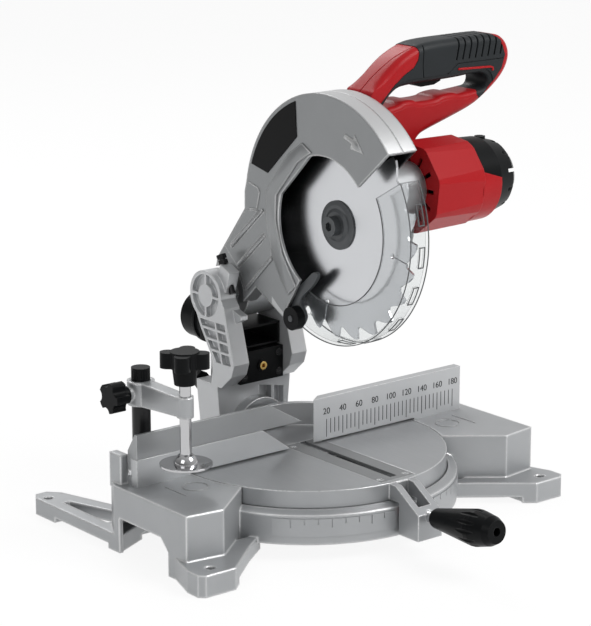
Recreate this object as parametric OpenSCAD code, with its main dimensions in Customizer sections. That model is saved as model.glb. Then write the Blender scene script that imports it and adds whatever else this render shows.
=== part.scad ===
// Compound mitre saw: bench base, turntable, tilting arm and hinged saw head.
// Millimetres, +X to the operator's right, +Y away from the operator, +Z up.
// The working frame has the turntable axis at X = Y = 0, the bench at Z = 0
// and the fence face at Y = 0. The finished part is shifted so that its origin
// is the centre of the four bench bolt holes.

/* [Blade] */
// Blade diameter over the teeth
blade_d = 210; // [205:1:212]
// Blade thickness
blade_t = 2.4; // [1.8:0.1:3]
// Number of teeth
blade_teeth = 24; // [18:2:36]
// Bore of the blade
blade_bore_d = 30; // [25:1:32]
// Distance from the turntable axis to the blade plane
blade_x = 4; // [3:0.5:5]
// Depth of a tooth gullet
gullet_depth = 11; // [8:0.5:13]
// Diameter of the clamping flanges
flange_d = 45; // [40:1:48]
// Thickness of a clamping flange
flange_t = 4; // [3:0.5:4.5]
// Diameter of the blade spindle
spindle_d = 16; // [14:0.5:18]

/* [Table] */
// Height of the table top above the bench
table_z = 62; // [58:1:68]
// Radius of the turntable
table_r = 131; // [129:1:132]
// Thickness of the turntable top
table_t = 8; // [6:0.5:9]
// Depth of the turntable skirt below the table top
skirt_depth = 18; // [16:0.5:18.5]
// Running gap round the turntable
table_gap = 1.5; // [1.2:0.1:2]
// Width of the slotted insert
insert_w = 40; // [36:1:44]
// Thickness of the slotted insert
insert_t = 2.5; // [2:0.1:3]
// Front end of the insert, from the turntable edge
insert_inset = 6; // [5:0.5:9]
// Slot edge left of the blade plane
slot_left = 3; // [2.6:0.1:3.4]
// Slot edge right of the blade plane
slot_right = 5; // [4.6:0.2:6]
// Half width of the front arm
arm_half = 14; // [13:0.5:16]
// Reach of the front arm past the base ring
arm_reach = 29; // [25:1:33]
// Upward tilt of the mitre lock handle
handle_tilt = 6; // [4:0.5:8]
// Length of the mitre lock handle
lock_handle_l = 79; // [70:1:88]
// Largest diameter of the mitre lock handle
lock_handle_d = 33; // [30:1:36]
// Diameter of the mitre lock rod
lock_rod_d = 10; // [8:0.5:11]

/* [Base casting] */
// Reach of the wings past the base ring
wing_reach = 65; // [63:1:69]
// Front edge of the wings, ahead of the fence face
wing_front = 89; // [87:1:92]
// Wing nose beside the turntable, from the wing side
nose_inset = 37; // [34:1:40]
// Rear edge of the wings, behind the fence face
wing_rear = 44; // [43:0.5:48]
// Top plate of the wings
wing_top_t = 5; // [4:0.5:6]
// Casting wall
cast_wall = 4; // [3:0.5:5]
// Base ring past the turntable edge
ring_margin = 10; // [9:0.5:11]
// Bottom of the base ring above the bench
ring_low = 15; // [13:0.5:16]
// Outer height of the base ring above the bench
ring_top = 42.5; // [40:0.5:43]
// Base floor thickness
floor_t = 5; // [4:0.5:5.5]
// Bench holes from the wing sides
hole_inset = 9; // [6:1:12]
// Front bench holes, ahead of the fence face
hole_front = 111; // [109:1:113]
// Rear bench holes, behind the fence face
hole_rear = 141; // [139:1:143]
// Diameter of the bench holes
hole_d = 9; // [7:0.5:10]
// Thickness of the front feet
foot_t = 20; // [17:0.5:22]
// Thickness of the rear legs
leg_t = 16; // [13:0.5:18]
// Clear height of the carrying arch in a wing wall
arch_h = 33; // [28:1:36]

/* [Fence] */
// Height of the right fence above the table
fence_h = 43.5; // [40:0.5:48]
// Height of the low left fence above the table
low_fence_h = 25.5; // [24:0.5:27]
// Height of the sliding fence top above the table
slide_fence_h = 48.7; // [46:0.1:52]
// Outer end of the fences from the wing sides
fence_inset = 12; // [8:1:16]
// Thickness of the fence walls
fence_t = 9; // [8:0.5:10]
// Gap under the fence over the turntable
fence_gap = 2; // [1.5:0.1:2.5]
// Inner end of the right fence from the blade plane
fence_right_gap = 4; // [3.6:0.2:6]
// Outer radius of the bridge behind the blade
bridge_r = 60; // [58:0.5:61]
// Bridge wall
bridge_t = 6; // [5:0.5:7]
// Travel of the sliding fence
fence_travel = 60; // [50:1:64]

/* [Hold-down clamp] */
// Clamp post from the wing side
post_inset = 38; // [36:1:40]
// Clamp post behind the fence face
post_y = 29; // [28:0.5:30]
// Diameter of the clamp post
post_d = 17; // [15:0.5:18]
// Top of the clamp post cap above the table
post_h = 101; // [98:1:105]
// Reach of the clamp arm
clamp_reach = 67; // [62:1:72]
// Height of the clamp arm block
clamp_arm_h = 22; // [19:0.5:24]
// Underside of the clamp arm above the table
clamp_arm_z = 67; // [66:0.5:69]
// Diameter of the clamp screw
clamp_screw_d = 10.4; // [9:0.2:11]
// Diameter of the clamp pad
clamp_pad_d = 47; // [42:1:50]
// Underside of the clamp pad above the table
clamp_pad_z = 26; // [25:0.5:28]
// Diameter of the clamp knob
clamp_knob_d = 44; // [40:1:48]

/* [Tilting arm] */
// Head pivot behind the fence face
pivot_y = 103; // [101:0.5:105]
// Head pivot above the table
pivot_h = 132; // [130:0.5:134]
// Diameter of the head pivot pin
pivot_d = 20; // [18:0.5:21]
// Outer radius of the arm cheeks round the pivot
cheek_r = 24; // [22:0.5:25]
// Thickness of the arm cheeks
cheek_t = 18; // [16:0.5:19]
// Half width over the arm cheeks
yoke_half = 44; // [43:0.5:46]
// Front face of the tilting boss, behind the fence face
yoke_front = 85; // [84:0.5:86]
// Depth of the tilting boss along the tilt axis
yoke_depth = 33; // [30:0.5:35]
// Outer radius of the tilting boss
yoke_r = 40; // [37:0.5:40.5]
// Diameter of the tilt pivot bolt
tilt_bolt_d = 14; // [12:0.5:16]
// Length of the tilt lock lever
tilt_lever_l = 62; // [55:1:66]
// Diameter of the dust spigot
dust_d = 46; // [40:1:48]
// Wire diameter of the return spring
spring_wire = 2; // [1.8:0.1:2.2]
// Working coils of the return spring
spring_turns = 4; // [3:1:4]

/* [Saw head] */
// Blade centre ahead of the head pivot
hub_reach = 145; // [143:0.5:147]
// Blade centre above the head pivot
hub_rise = 87; // [85:0.5:89]
// Upper guard past the blade teeth
guard_margin = 9; // [8:0.5:11]
// Wall of the upper guard
guard_wall = 3.2; // [2.8:0.1:3.4]
// Rise of the upper guard centre above the blade centre
guard_rise = 7.4; // [6.5:0.1:8]
// Left face of the upper guard from the blade plane
guard_left = 19; // [18.5:0.1:20]
// Right face of the upper guard from the blade plane
guard_right = 14; // [13.8:0.1:15]
// Radius of the side window in the upper guard
window_r = 65; // [60:0.5:68]
// Lower guard past the blade teeth
lower_guard_margin = 4.5; // [4:0.1:5]
// Wall of the lower guard
lower_guard_t = 2.2; // [1.8:0.1:2.4]
// Distance of the motor axis ahead of the blade centre
motor_fwd = 44; // [43:0.5:46]
// Distance of the motor axis above the blade centre
motor_up = 36; // [35:0.5:38]
// Diameter of the motor housing
motor_d = 84; // [80:1:88]
// Right end of the motor from the blade plane
motor_end = 150; // [146:1:156]
// Teeth of the motor pinion
pinion_teeth = 12; // [11:1:13]
// Teeth of the spindle gear
gear_teeth = 40; // [38:1:42]
// Distance of the handle's middle plane in front of the blade centre
handle_fwd = 7; // [5:0.5:9]
// Depth of the handle
handle_w = 36; // [32:1:38]
// Radius of the guard roller
roller_r = 11; // [9:0.5:12]

/* [Fits] */
// Radial clearance of a turning fit
turn_fit = 0.06; // [0.03:0.01:0.1]
// Clearance between sliding faces
slide_gap = 0.3; // [0.25:0.05:0.4]
// Clearance of a fixed joint
seat_gap = 0.05; // [0.02:0.01:0.1]

/* [Hidden] */
$fn = 64;

// Colours of the finishes
cast_grey = [0.60, 0.61, 0.62];
dark_grey = [0.35, 0.36, 0.37];
red_paint = [0.66, 0.08, 0.09];
black_plastic = [0.07, 0.07, 0.08];
steel = [0.75, 0.76, 0.78];
chrome = [0.88, 0.88, 0.89];
clear_plastic = [0.85, 0.90, 0.92, 0.35];

// Frame of the whole part
ring_r = table_r + ring_margin;
wing_half = ring_r + wing_reach;
wing_nose = wing_half - nose_inset;
hole_half = wing_half - hole_inset;
fence_end = wing_half - fence_inset;
post_x = wing_half - post_inset;
insert_front = table_r - insert_inset;
arm_front = ring_r + arm_reach;
bench_mid_y = (hole_rear - hole_front) / 2;
hub_y = pivot_y - hub_reach;
hub_z = table_z + pivot_h + hub_rise;
pivot_z = table_z + pivot_h;
blade_r = blade_d / 2;
guard_r = blade_r + guard_margin;
lower_guard_r = blade_r + lower_guard_margin;
floor_top = ring_low + floor_t;
well_r = table_r + table_gap;
sweep_r = ring_r + 5;
skirt_low = table_z - skirt_depth;

// Solid along X from a side outline drawn as (Y, Z)
module side(x0, x1) {
    translate([x0, 0, 0]) rotate([90, 0, 90]) linear_extrude(x1 - x0) children();
}

// Solid along Y from a front outline drawn as (X, Z)
module front(y0, y1) {
    translate([0, y1, 0]) rotate([90, 0, 0]) linear_extrude(y1 - y0) children();
}

// Round bar along X, about (Y, Z) = (y, z)
module bar_x(r, x0, x1, y = 0, z = 0) {
    translate([x0, y, z]) rotate([0, 90, 0]) cylinder(r = r, h = x1 - x0);
}

// Round bar along Y, about (X, Z) = (x, z)
module bar_y(r, y0, y1, x = 0, z = 0) {
    translate([x, y1, z]) rotate([90, 0, 0]) cylinder(r = r, h = y1 - y0);
}

// Round bar along Z
module bar_z(r, z0, z1, x = 0, y = 0) {
    translate([x, y, z0]) cylinder(r = r, h = z1 - z0);
}

// Box from its low corner to its high corner
module block(low, high) {
    translate(low) cube(high - low);
}

// Both sides of the machine
module both_sides() {
    children();
    mirror([1, 0, 0]) children();
}

// Frames of the assemblies
module at_hub() { translate([blade_x, hub_y, hub_z]) children(); }
module at_pivot() { translate([blade_x, pivot_y, pivot_z]) children(); }
module at_tilt() { translate([blade_x, 0, table_z]) children(); }
module at_post() { translate([-post_x, post_y, table_z]) children(); }

// Base casting
foot_side = wing_half + 11;
foot_nose = 125;
foot_inner = wing_half - 26;
leg_inner = wing_half - 54;
loop_inner = wing_half - 40;
wing_root = ring_r - 41;
hub_base_r = 24;
table_bolt_r = 8;
socket_h = 10;
tab_h = 27;
wing_rear_side = 20;
socket_depth = 34;
post_r = post_d / 2;
lug_t = 8;
lug_depth = 12;
lug_inner = post_x - 22;
lug_outer = post_x + 15;
lug_w = 9;
bolt_r = 3;
bolt_end = 4;

module wing_outline(inset) {
    polygon([
        [wing_half - inset, wing_rear_side - inset * 0.5],
        [wing_half - inset, -wing_front + inset],
        [wing_nose + inset * 0.3, -wing_front - 5 + inset],
        [wing_root, -40 + inset * 2],
        [wing_root, wing_rear - inset],
        [wing_half - 14 - inset * 0.6, wing_rear - inset]
    ]);
}

module wing() {
    difference() {
        linear_extrude(table_z) wing_outline(0);
        translate([0, 0, -1]) linear_extrude(table_z - wing_top_t + 1) wing_outline(cast_wall);
        // Carrying arch through the outer wall
        side(wing_half - cast_wall - 2, wing_half + 1)
            polygon([[-62, -1], [-62, arch_h - 11], [-51, arch_h], [12, arch_h], [12, -1]]);
    }
    // Inner wall towards the turntable well
    intersection() {
        difference() {
            bar_z(sweep_r + cast_wall, foot_t, table_z);
            translate([0, 0, -1]) cylinder(r = well_r, h = table_z + 2);
        }
        linear_extrude(table_z) wing_outline(0);
    }
}

module front_foot() {
    difference() {
        linear_extrude(foot_t) polygon([
            [wing_half - 1, -70], [foot_side, -foot_nose + 20], [foot_side, -foot_nose + 5],
            [foot_side - 5, -foot_nose], [foot_inner, -foot_nose],
            [foot_inner - 42, -foot_nose + 35], [foot_inner - 70, -70]
        ]);
        translate([0, 0, -1]) linear_extrude(7) polygon([
            [foot_inner - 80, -140], [foot_inner - 20, -140], [foot_inner - 8, -foot_nose + 14],
            [foot_inner - 8, -60], [foot_inner - 80, -60]
        ]);
    }
}

module rear_leg() {
    difference() {
        linear_extrude(leg_t) polygon([
            [wing_half, 12], [wing_half, hole_rear + 8], [wing_half - 6, hole_rear + 17],
            [hole_half - 9, hole_rear + 17], [hole_half - 19, hole_rear + 6],
            [leg_inner, wing_rear + 14], [leg_inner, wing_rear - 6]
        ]);
        // Loop of the carrying leg
        translate([0, 0, -1]) linear_extrude(leg_t + 2) polygon([
            [wing_half - 13, wing_rear + 6], [wing_half - 13, hole_rear - 20],
            [wing_half - 19, hole_rear - 20], [loop_inner, wing_rear + 14], [loop_inner, wing_rear + 6]
        ]);
        // Relief under the bar between the wall and the foot
        translate([0, wing_rear - 14, -1]) cube([wing_half + 1, hole_rear - wing_rear - 10, 6]);
    }
}

module post_socket() {
    bar_z(post_r + 5, table_z - socket_depth, table_z + socket_h, post_x, post_y);
    block([post_x - 6, post_y + 1, foot_t], [post_x + 6, wing_rear - 1, table_z]);
}

module base_ring() {
    intersection() {
        rotate_extrude() polygon([
            [well_r, ring_low], [ring_r, ring_low], [ring_r, ring_top], [well_r, ring_top + 3.5]
        ]);
        translate([-ring_r, -ring_r - 1, 0]) cube([2 * ring_r, ring_r + 13, table_z]);
    }
}

module base_floor() {
    difference() {
        intersection() {
            bar_z(ring_r, ring_low, floor_top);
            translate([-ring_r, -ring_r, 0]) cube([2 * ring_r, ring_r + 66, table_z]);
        }
        for (a = [20, 90, 160, 216, 270, 324])
            rotate(a) translate([74, 0, 0]) bar_z(24, 0, table_z);
    }
    bar_z(hub_base_r, ring_low, skirt_low - slide_gap);
}

module base_casting() color(cast_grey) difference() {
    union() {
        both_sides() {
            difference() {
                union() {
                    wing();
                    front_foot();
                    rear_leg();
                    post_socket();
                }
                bar_z(well_r, floor_top, table_z + 40);
                intersection() {
                    bar_z(sweep_r, floor_top, table_z + 40);
                    translate([0, 12, 0]) cube([sweep_r, sweep_r, table_z + 40]);
                }
                bar_z(well_r - 1, -1, ring_low + 1);
            }
        }
        // Guard tab beside the clamp post
        block([-wing_half + 6, post_y - 12, table_z - wing_top_t],
              [-wing_half + 14, post_y + 5, table_z + tab_h]);
        base_ring();
        base_floor();
    }
    both_sides() {
        bar_z(hole_d / 2, -1, foot_t + 1, hole_half, -hole_front);
        bar_z(hole_d / 2, -1, foot_t + 1, hole_half, hole_rear);
        bar_z(post_r + turn_fit, table_z - socket_depth + 6, table_z + socket_h + 1, post_x, post_y);
        for (x = [lug_inner, lug_outer])
            translate([x + lug_w / 2, fence_t + lug_depth / 2, 0])
                bar_z(bolt_r + seat_gap, table_z - wing_top_t - bolt_end - 1, table_z + 1);
    }
    bar_z(table_bolt_r + seat_gap, ring_low - 1, table_z);
}

module table_pivot_bolt() color(steel) {
    bar_z(table_bolt_r, ring_low - 2, table_z - table_t + 3);
    bar_z(14, ring_low - 8, ring_low);
}

// Curved scale strip on the front of the base ring, with a degree notch every five degrees
scale_t = 0.8;
scale_span = 52;
module mitre_scale() color(steel) difference() {
    intersection() {
        difference() {
            bar_z(ring_r + scale_t + seat_gap, ring_low + 8, ring_top - 3);
            bar_z(ring_r + seat_gap, 0, table_z);
        }
        linear_extrude(table_z) polygon(concat([[0, 0]],
            [for (a = [-scale_span : scale_span / 4 : scale_span]) [220 * sin(a), -220 * cos(a)]]));
    }
    for (a = [-45 : 5 : 45])
        rotate(a) block([-0.4, -ring_r - 3, ring_top - (a % 15 == 0 ? 11 : 8)], [0.4, -ring_r, ring_top]);
}

// Fence
fence_face_z = table_z + fence_gap;
fence_right = blade_x + fence_right_gap;
fence_mitre_cut = 12;
low_end_top = 52;
low_end_low = 20;
slide_seat = table_z + low_fence_h + slide_gap;
slide_back = 14;
slide_skirt = 11.5;
slide_inner = 62;
slide_inner_low = slide_inner + 4;
knob_x = slide_inner_low + fence_travel + 14;
knob_h = low_fence_h - 5.5;
knob_screw_r = 3;

module fence() color(cast_grey) difference() {
    union() {
        // Right wall, cut back behind its inner end for the mitred blade
        translate([0, 0, fence_face_z]) linear_extrude(fence_h - fence_gap) polygon([
            [fence_right, 0], [fence_end, 0], [fence_end, fence_t], [fence_right + fence_mitre_cut, fence_t]
        ]);
        // Low left wall, sloped at its inner end for the tilted blade
        front(0, fence_t) polygon([
            [-fence_end, fence_face_z], [-fence_end, table_z + low_fence_h],
            [-low_end_top, table_z + low_fence_h], [-low_end_low, fence_face_z]
        ]);
        // Feet on the wings
        for (s = [-1, 1])
            block([s < 0 ? -fence_end : well_r + 2, 0, table_z],
                  [s < 0 ? -well_r - 2 : fence_end, fence_t, fence_face_z + 1]);
        both_sides()
            for (x = [lug_inner, lug_outer])
                block([x, fence_t - 1, table_z], [x + lug_w, fence_t + lug_depth, table_z + lug_t]);
        // Bridge behind the blade
        intersection() {
            translate([blade_x, fence_t, 0]) difference() {
                bar_z(bridge_r, fence_face_z, table_z + low_fence_h - 2);
                bar_z(bridge_r - bridge_t, 0, table_z + low_fence_h);
            }
            translate([-100, fence_t - 1, 0]) cube([200, 100, 200]);
        }
        // Back rib of the right wall
        block([blade_x + bridge_r - 2, fence_t - 1, fence_face_z],
              [fence_end, fence_t + 3, fence_face_z + 6]);
    }
    both_sides()
        for (x = [lug_inner, lug_outer])
            translate([x + lug_w / 2, fence_t + lug_depth / 2, 0])
                bar_z(bolt_r + seat_gap, table_z - 1, table_z + lug_t + 1);
    bar_y(knob_screw_r + turn_fit, 3, fence_t + 1, -knob_x, table_z + knob_h);
}

module fence_bolts() color(steel) both_sides()
    for (x = [lug_inner, lug_outer]) translate([x + lug_w / 2, fence_t + lug_depth / 2, 0]) {
        bar_z(bolt_r, table_z - wing_top_t - bolt_end, table_z + lug_t);
        translate([0, 0, table_z + lug_t]) cylinder(r = 4.2, h = 3, $fn = 6);
    }

module sliding_fence() color(cast_grey) difference() {
    intersection() {
        side(-fence_end, 0) polygon([
            [0, slide_seat], [0, table_z + slide_fence_h], [3, table_z + slide_fence_h],
            [slide_back, slide_seat + 6], [slide_back, slide_seat - slide_skirt],
            [fence_t + slide_gap, slide_seat - slide_skirt], [fence_t + slide_gap, slide_seat]
        ]);
        front(-1, slide_back + 1) polygon([
            [-fence_end, 0], [-fence_end, table_z + slide_fence_h + 1], [-45, table_z + slide_fence_h + 1],
            [-45, table_z + slide_fence_h], [-6, slide_seat], [-slide_inner, slide_seat - 0.01],
            [-slide_inner_low, 0]
        ]);
    }
    // Slot for the lock knob screw
    translate([-knob_x, 0, table_z + knob_h]) {
        bar_y(knob_screw_r + slide_gap, 0, slide_back + 1);
        bar_y(knob_screw_r + slide_gap, 0, slide_back + 1, fence_travel + 2);
        block([0, 0, -knob_screw_r - slide_gap],
              [fence_travel + 2, slide_back + 1, knob_screw_r + slide_gap]);
    }
}

module fence_lock_knob() color(black_plastic) translate([-knob_x, 0, table_z + knob_h]) {
    bar_y(knob_screw_r, 4, slide_back + slide_gap + 1);
    difference() {
        bar_y(9, slide_back + slide_gap, slide_back + 16);
        for (a = [0 : 60 : 300])
            rotate([0, a, 0]) bar_y(2, slide_back + 3, slide_back + 17, 10.2);
    }
}

// Hold-down clamp, drawn about the post axis at table height
cap_h = post_h - clamp_arm_z - clamp_arm_h - slide_gap;
cap_r = post_r + 0.1;
boss_r = 7;
screw_top = 24;
pad_t = 2;
dome_r = 11;
knob_gap = 11;

module clamp_post() color(black_plastic) at_post()
    bar_z(post_r, -socket_depth + 6, post_h - cap_h);

module clamp_post_cap() color(black_plastic) at_post() difference() {
    bar_z(cap_r, post_h - cap_h, post_h);
    for (a = [0 : 30 : 330])
        rotate(a) bar_z(0.8, post_h - cap_h + 2, post_h - 2, cap_r);
}

module clamp_arm() color(cast_grey) at_post() difference() {
    union() {
        bar_z(post_r + 4, clamp_arm_z, clamp_arm_z + clamp_arm_h);
        bar_z(boss_r + 0.5, clamp_arm_z + 3, clamp_arm_z + clamp_arm_h, 0, -clamp_reach);
        side(-7, 7) polygon([
            [-post_r, clamp_arm_z], [-post_r, clamp_arm_z + clamp_arm_h],
            [-clamp_reach, clamp_arm_z + clamp_arm_h - 1], [-clamp_reach, clamp_arm_z + 4]
        ]);
        bar_x(6, -post_r - 7, -post_r, 0, clamp_arm_z + clamp_arm_h / 2);
    }
    bar_z(post_r + turn_fit, 0, post_h);
    bar_z(clamp_screw_d / 2 + turn_fit, 0, post_h, 0, -clamp_reach);
    bar_x(4 + turn_fit, -post_r - 8, -post_r + 1, 0, clamp_arm_z + clamp_arm_h / 2);
}

module clamp_side_knob() color(black_plastic) at_post() translate([0, 0, clamp_arm_z + clamp_arm_h / 2]) {
    bar_x(4, -post_r - 16, -post_r - slide_gap);
    difference() {
        bar_x(14, -post_r - 27, -post_r - 13);
        for (a = [0 : 72 : 288])
            rotate([a, 0, 0]) bar_x(6, -post_r - 28, -post_r - 12, 16);
    }
    bar_x(8, -post_r - 13, -post_r - 7 - slide_gap);
}

module clamp_pad() color(chrome) at_post() translate([0, -clamp_reach, clamp_pad_z]) difference() {
    union() {
        bar_z(clamp_pad_d / 2, 0, pad_t);
        intersection() {
            translate([0, 0, pad_t - 1]) sphere(r = dome_r);
            bar_z(dome_r, pad_t - 0.5, dome_r + pad_t);
        }
    }
    bar_z(clamp_screw_d / 2 + turn_fit, 4, 40);
}

module clamp_screw() color(chrome) at_post() translate([0, -clamp_reach, 0])
    bar_z(clamp_screw_d / 2, clamp_pad_z + 4 + seat_gap, clamp_arm_z + clamp_arm_h + screw_top);

module clamp_knob() color(black_plastic) at_post()
    translate([0, -clamp_reach, clamp_arm_z + clamp_arm_h + knob_gap]) difference() {
        union() {
            cylinder(r1 = 9.5, r2 = 11.5, h = 17);
            bar_z(13, 15, 30);
            for (a = [45 : 90 : 315]) rotate(a) {
                block([0, -7, 15], [clamp_knob_d / 2 - 7, 7, 29]);
                bar_z(7, 15, 29, clamp_knob_d / 2 - 7);
            }
        }
        bar_z(clamp_screw_d / 2 + seat_gap, -1, screw_top - knob_gap + seat_gap);
    }

// Turntable
table_hub_r = 20;
arm_cheek = 7;
arm_low = 17;
rod_y = arm_front + 4;
rod_h = 23.6;
tilt_boss_r = 30;
tilt_boss_front = 73;
insert_rear = 14;
slot_front = insert_front - 7;
slot_rear = table_hub_r + 1;
arm_under = ring_top + 4.3;
insert_low = table_z - insert_t;
tilt_r = tilt_bolt_d / 2;
tilt_head_r = 12;
screw_spots = [[-15, -insert_front + 7], [15, -insert_front + 7], [-15, 6], [15, 6]];

// Frame of the tilted lock handle: its own +Z points out of the arm
module at_lock() {
    translate([blade_x - 1, -rod_y, table_z - rod_h]) rotate([90 - handle_tilt, 0, 0]) children();
}

module turntable() color(cast_grey) difference() {
    union() {
        intersection() {
            union() {
                bar_z(table_r, table_z - table_t, table_z);
                difference() {
                    bar_z(table_r, skirt_low, table_z);
                    bar_z(table_r - 6, 0, table_z);
                }
                bar_z(table_hub_r, skirt_low, table_z);
                both_sides()
                    block([insert_w / 2 + 4, -table_r + 6, skirt_low + 4],
                          [insert_w / 2 + 8, 80, table_z - 1]);
            }
            translate([-200, -200, 0]) cube([400, 200 + yoke_front - slide_gap, 200]);
        }
        // Front arm reaching over the base ring
        translate([blade_x - 1, 0, 0]) side(-arm_half, arm_half) polygon([
            [-table_r + 8, table_z], [-table_r - 8, table_z - 1], [-arm_front, table_z - 21],
            [-arm_front, arm_low], [-ring_r - 3, arm_low], [-ring_r - 3, arm_under],
            [-table_r + 8, arm_under]
        ]);
        // Boss that carries the tilting arm
        at_tilt() bar_y(tilt_boss_r, tilt_boss_front, yoke_front - slide_gap);
    }
    // Channel in the front arm
    translate([blade_x - 1, 0, 0])
        block([-arm_half + arm_cheek, -arm_front + 8, arm_low + 6],
              [arm_half - arm_cheek, -ring_r + 9, table_z + 1]);
    // Seat of the slotted insert and the blade slot under it
    translate([blade_x, 0, 0]) {
        block([-insert_w / 2, -insert_front, insert_low], [insert_w / 2, insert_rear, table_z + 1]);
        block([-slot_left - 3, -slot_front, 0], [slot_right + 12, -slot_rear, table_z]);
        for (p = screw_spots) bar_z(2 + seat_gap, table_z - table_t - 1, table_z, p[0], p[1]);
    }
    bar_z(table_bolt_r + turn_fit, 0, table_z - table_t + 3 + seat_gap);
    at_tilt() {
        bar_y(tilt_r + turn_fit, tilt_boss_front - 1, yoke_front + 1);
        bar_y(tilt_head_r + seat_gap, tilt_boss_front - 1, tilt_boss_front + 6);
    }
    at_lock() bar_z(lock_rod_d / 2 + turn_fit, -40, 10);
}

module kerf_insert() color(dark_grey) translate([blade_x, 0, 0]) difference() {
    block([-insert_w / 2 + seat_gap, -insert_front + seat_gap, insert_low],
          [insert_w / 2 - seat_gap, insert_rear - seat_gap, table_z]);
    block([-slot_left, -slot_front, 0], [slot_right, insert_rear + 1, table_z + 1]);
    for (p = screw_spots) {
        bar_z(2 + seat_gap, 0, table_z + 1, p[0], p[1]);
        bar_z(3.5 + seat_gap, table_z - 1.4, table_z + 1, p[0], p[1]);
    }
}

module insert_screws() color(steel) translate([blade_x, 0, 0])
    for (p = screw_spots) translate([p[0], p[1], 0]) {
        bar_z(2, table_z - table_t, table_z - 1);
        difference() {
            bar_z(3.5, table_z - 1.4, table_z - 0.1);
            block([-3, -0.4, table_z - 0.8], [3, 0.4, table_z]);
        }
    }

module mitre_pointer() color(red_paint) translate([blade_x - 1 - arm_half, 0, 0])
    side(1.5, arm_cheek - 1.5) polygon([
        [-ring_r - 3, skirt_low - 2], [-ring_r - 3, skirt_low - 8],
        [-ring_r - 1.6, skirt_low - 8], [-ring_r - 1.6, skirt_low - 2]
    ]);

module tilt_pivot_bolt() color(steel) at_tilt() {
    bar_y(tilt_r, tilt_boss_front + 2, yoke_front + yoke_depth + 17);
    translate([0, tilt_boss_front + 6, 0]) rotate([90, 0, 0]) cylinder(r = tilt_head_r, h = 5.5, $fn = 6);
}

module mitre_lock_rod() color(steel) at_lock() bar_z(lock_rod_d / 2, -31, 40);

module mitre_lock_handle() color(black_plastic) at_lock() difference() {
    translate([0, 0, 3]) rotate_extrude() polygon([
        [0, 0], [8, 0], [9, 2], [lock_handle_d / 2, lock_handle_l * 0.66],
        [lock_handle_d / 2, lock_handle_l * 0.72], [lock_handle_d / 2 - 3, lock_handle_l * 0.92],
        [lock_handle_d / 2 - 6, lock_handle_l], [0, lock_handle_l]
    ]);
    bar_z(lock_rod_d / 2 + seat_gap, 0, 40 + seat_gap);
    bar_z(4, lock_handle_l - 20, lock_handle_l + 5);
    // Finger flutes round the thick end
    for (a = [0 : 30 : 330])
        rotate(a) bar_z(2, lock_handle_l * 0.3, lock_handle_l * 0.85, lock_handle_d / 2 + 0.4);
}

// Tilting arm
cheek_in = yoke_half - cheek_t;
laser_low = 47;
laser_high = 78;
laser_front = 70;
laser_back = 90;
web_top = 79;
lever_hub_r = 13;
spring_r = 14.5;
stop_r = 3;
stop_nut_r = 5.2;
stop_nut = 14;
stop_head = 19;
pin_boss_r = 11;
rib_t = 2.4;

// Axis of the depth stop bolt, from the pivot
module at_stop() { translate([-cheek_in - 6, -20, 19]) rotate([-28, 0, 0]) children(); }

// Side outline of a cheek, (Y, Z) about the pivot
module cheek_outline() {
    circle(r = cheek_r);
    polygon([
        [-cheek_r, 0], [-cheek_r - 5, -8], [-cheek_r - 20, -60], [-cheek_r - 16, -72], [-cheek_r, -86],
        [-8, -86], [-12, -62], [8, -32], [cheek_r, 0]
    ]);
}

// Ribs on the outer face of a cheek leave these pockets
module cheek_pockets() {
    difference() {
        circle(r = cheek_r - 3.5);
        circle(r = pin_boss_r);
        square([rib_t, 60], center = true);
        square([60, rib_t], center = true);
    }
    difference() {
        polygon([
            [9.5, -23.5], [2.5, -36], [-16, -62], [-cheek_r - 15, -62], [-cheek_r - 5.5, -23.5]
        ]);
        polygon([[-11, -15], [-11 - rib_t, -15], [-25 - rib_t, -66], [-25, -66]]);
        for (i = [0 : 2]) translate([-60, -32.4 - 10 * i]) square([100, rib_t]);
    }
}

module tilt_arm() color(cast_grey) difference() {
    union() {
        at_pivot() {
            side(-yoke_half, -cheek_in) cheek_outline();
            side(cheek_in, yoke_half) cheek_outline();
            // Lug of the depth stop on the left cheek, and the small step below it
            side(-yoke_half + 6, -cheek_in) polygon([[-10, 18], [-16, 32], [-30, 26], [-24, 6]]);
            side(-cheek_in - 8, -cheek_in) polygon([
                [-cheek_r - 4, -10], [-cheek_r - 18, -14], [-cheek_r - 18, -18], [-cheek_r - 7, -24]
            ]);
        }
        at_tilt() {
            bar_y(yoke_r, yoke_front, yoke_front + yoke_depth);
            // Body between the boss and the cheeks
            front(yoke_front, yoke_front + yoke_depth) polygon([
                [-yoke_r, 0], [-yoke_half, laser_low - 4], [-yoke_half, laser_low], [yoke_half, laser_low],
                [yoke_half, laser_low - 4], [yoke_r, 0]
            ]);
            block([-cheek_in - 1, laser_back, laser_low], [cheek_in + 1, yoke_front + yoke_depth, web_top]);
        }
    }
    at_pivot() {
        bar_x(pivot_d / 2 + seat_gap, -yoke_half + 6, yoke_half + 1);
        side(-yoke_half - 1, -yoke_half + 5) cheek_pockets();
        side(yoke_half - 5, yoke_half + 1) cheek_pockets();
        at_stop() bar_z(stop_r + seat_gap, -20, 20);
    }
    at_tilt() {
        bar_y(tilt_r + turn_fit, 0, 200);
        // Hollow in the front of the boss under the laser
        difference() {
            front(yoke_front - 1, yoke_front + 8) polygon([
                [6, 16], [6, laser_low - 8], [yoke_half - 8, laser_low - 14], [yoke_half - 8, 16]
            ]);
            block([yoke_half / 2 - 1, 0, 0], [yoke_half / 2 + 2, 200, 100]);
        }
        for (s = [-1, 1], z = [laser_low + 6, laser_high - 6])
            bar_y(2 + seat_gap, laser_back - 1, laser_back + 9, s * (cheek_in - 5), z);
    }
}

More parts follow.
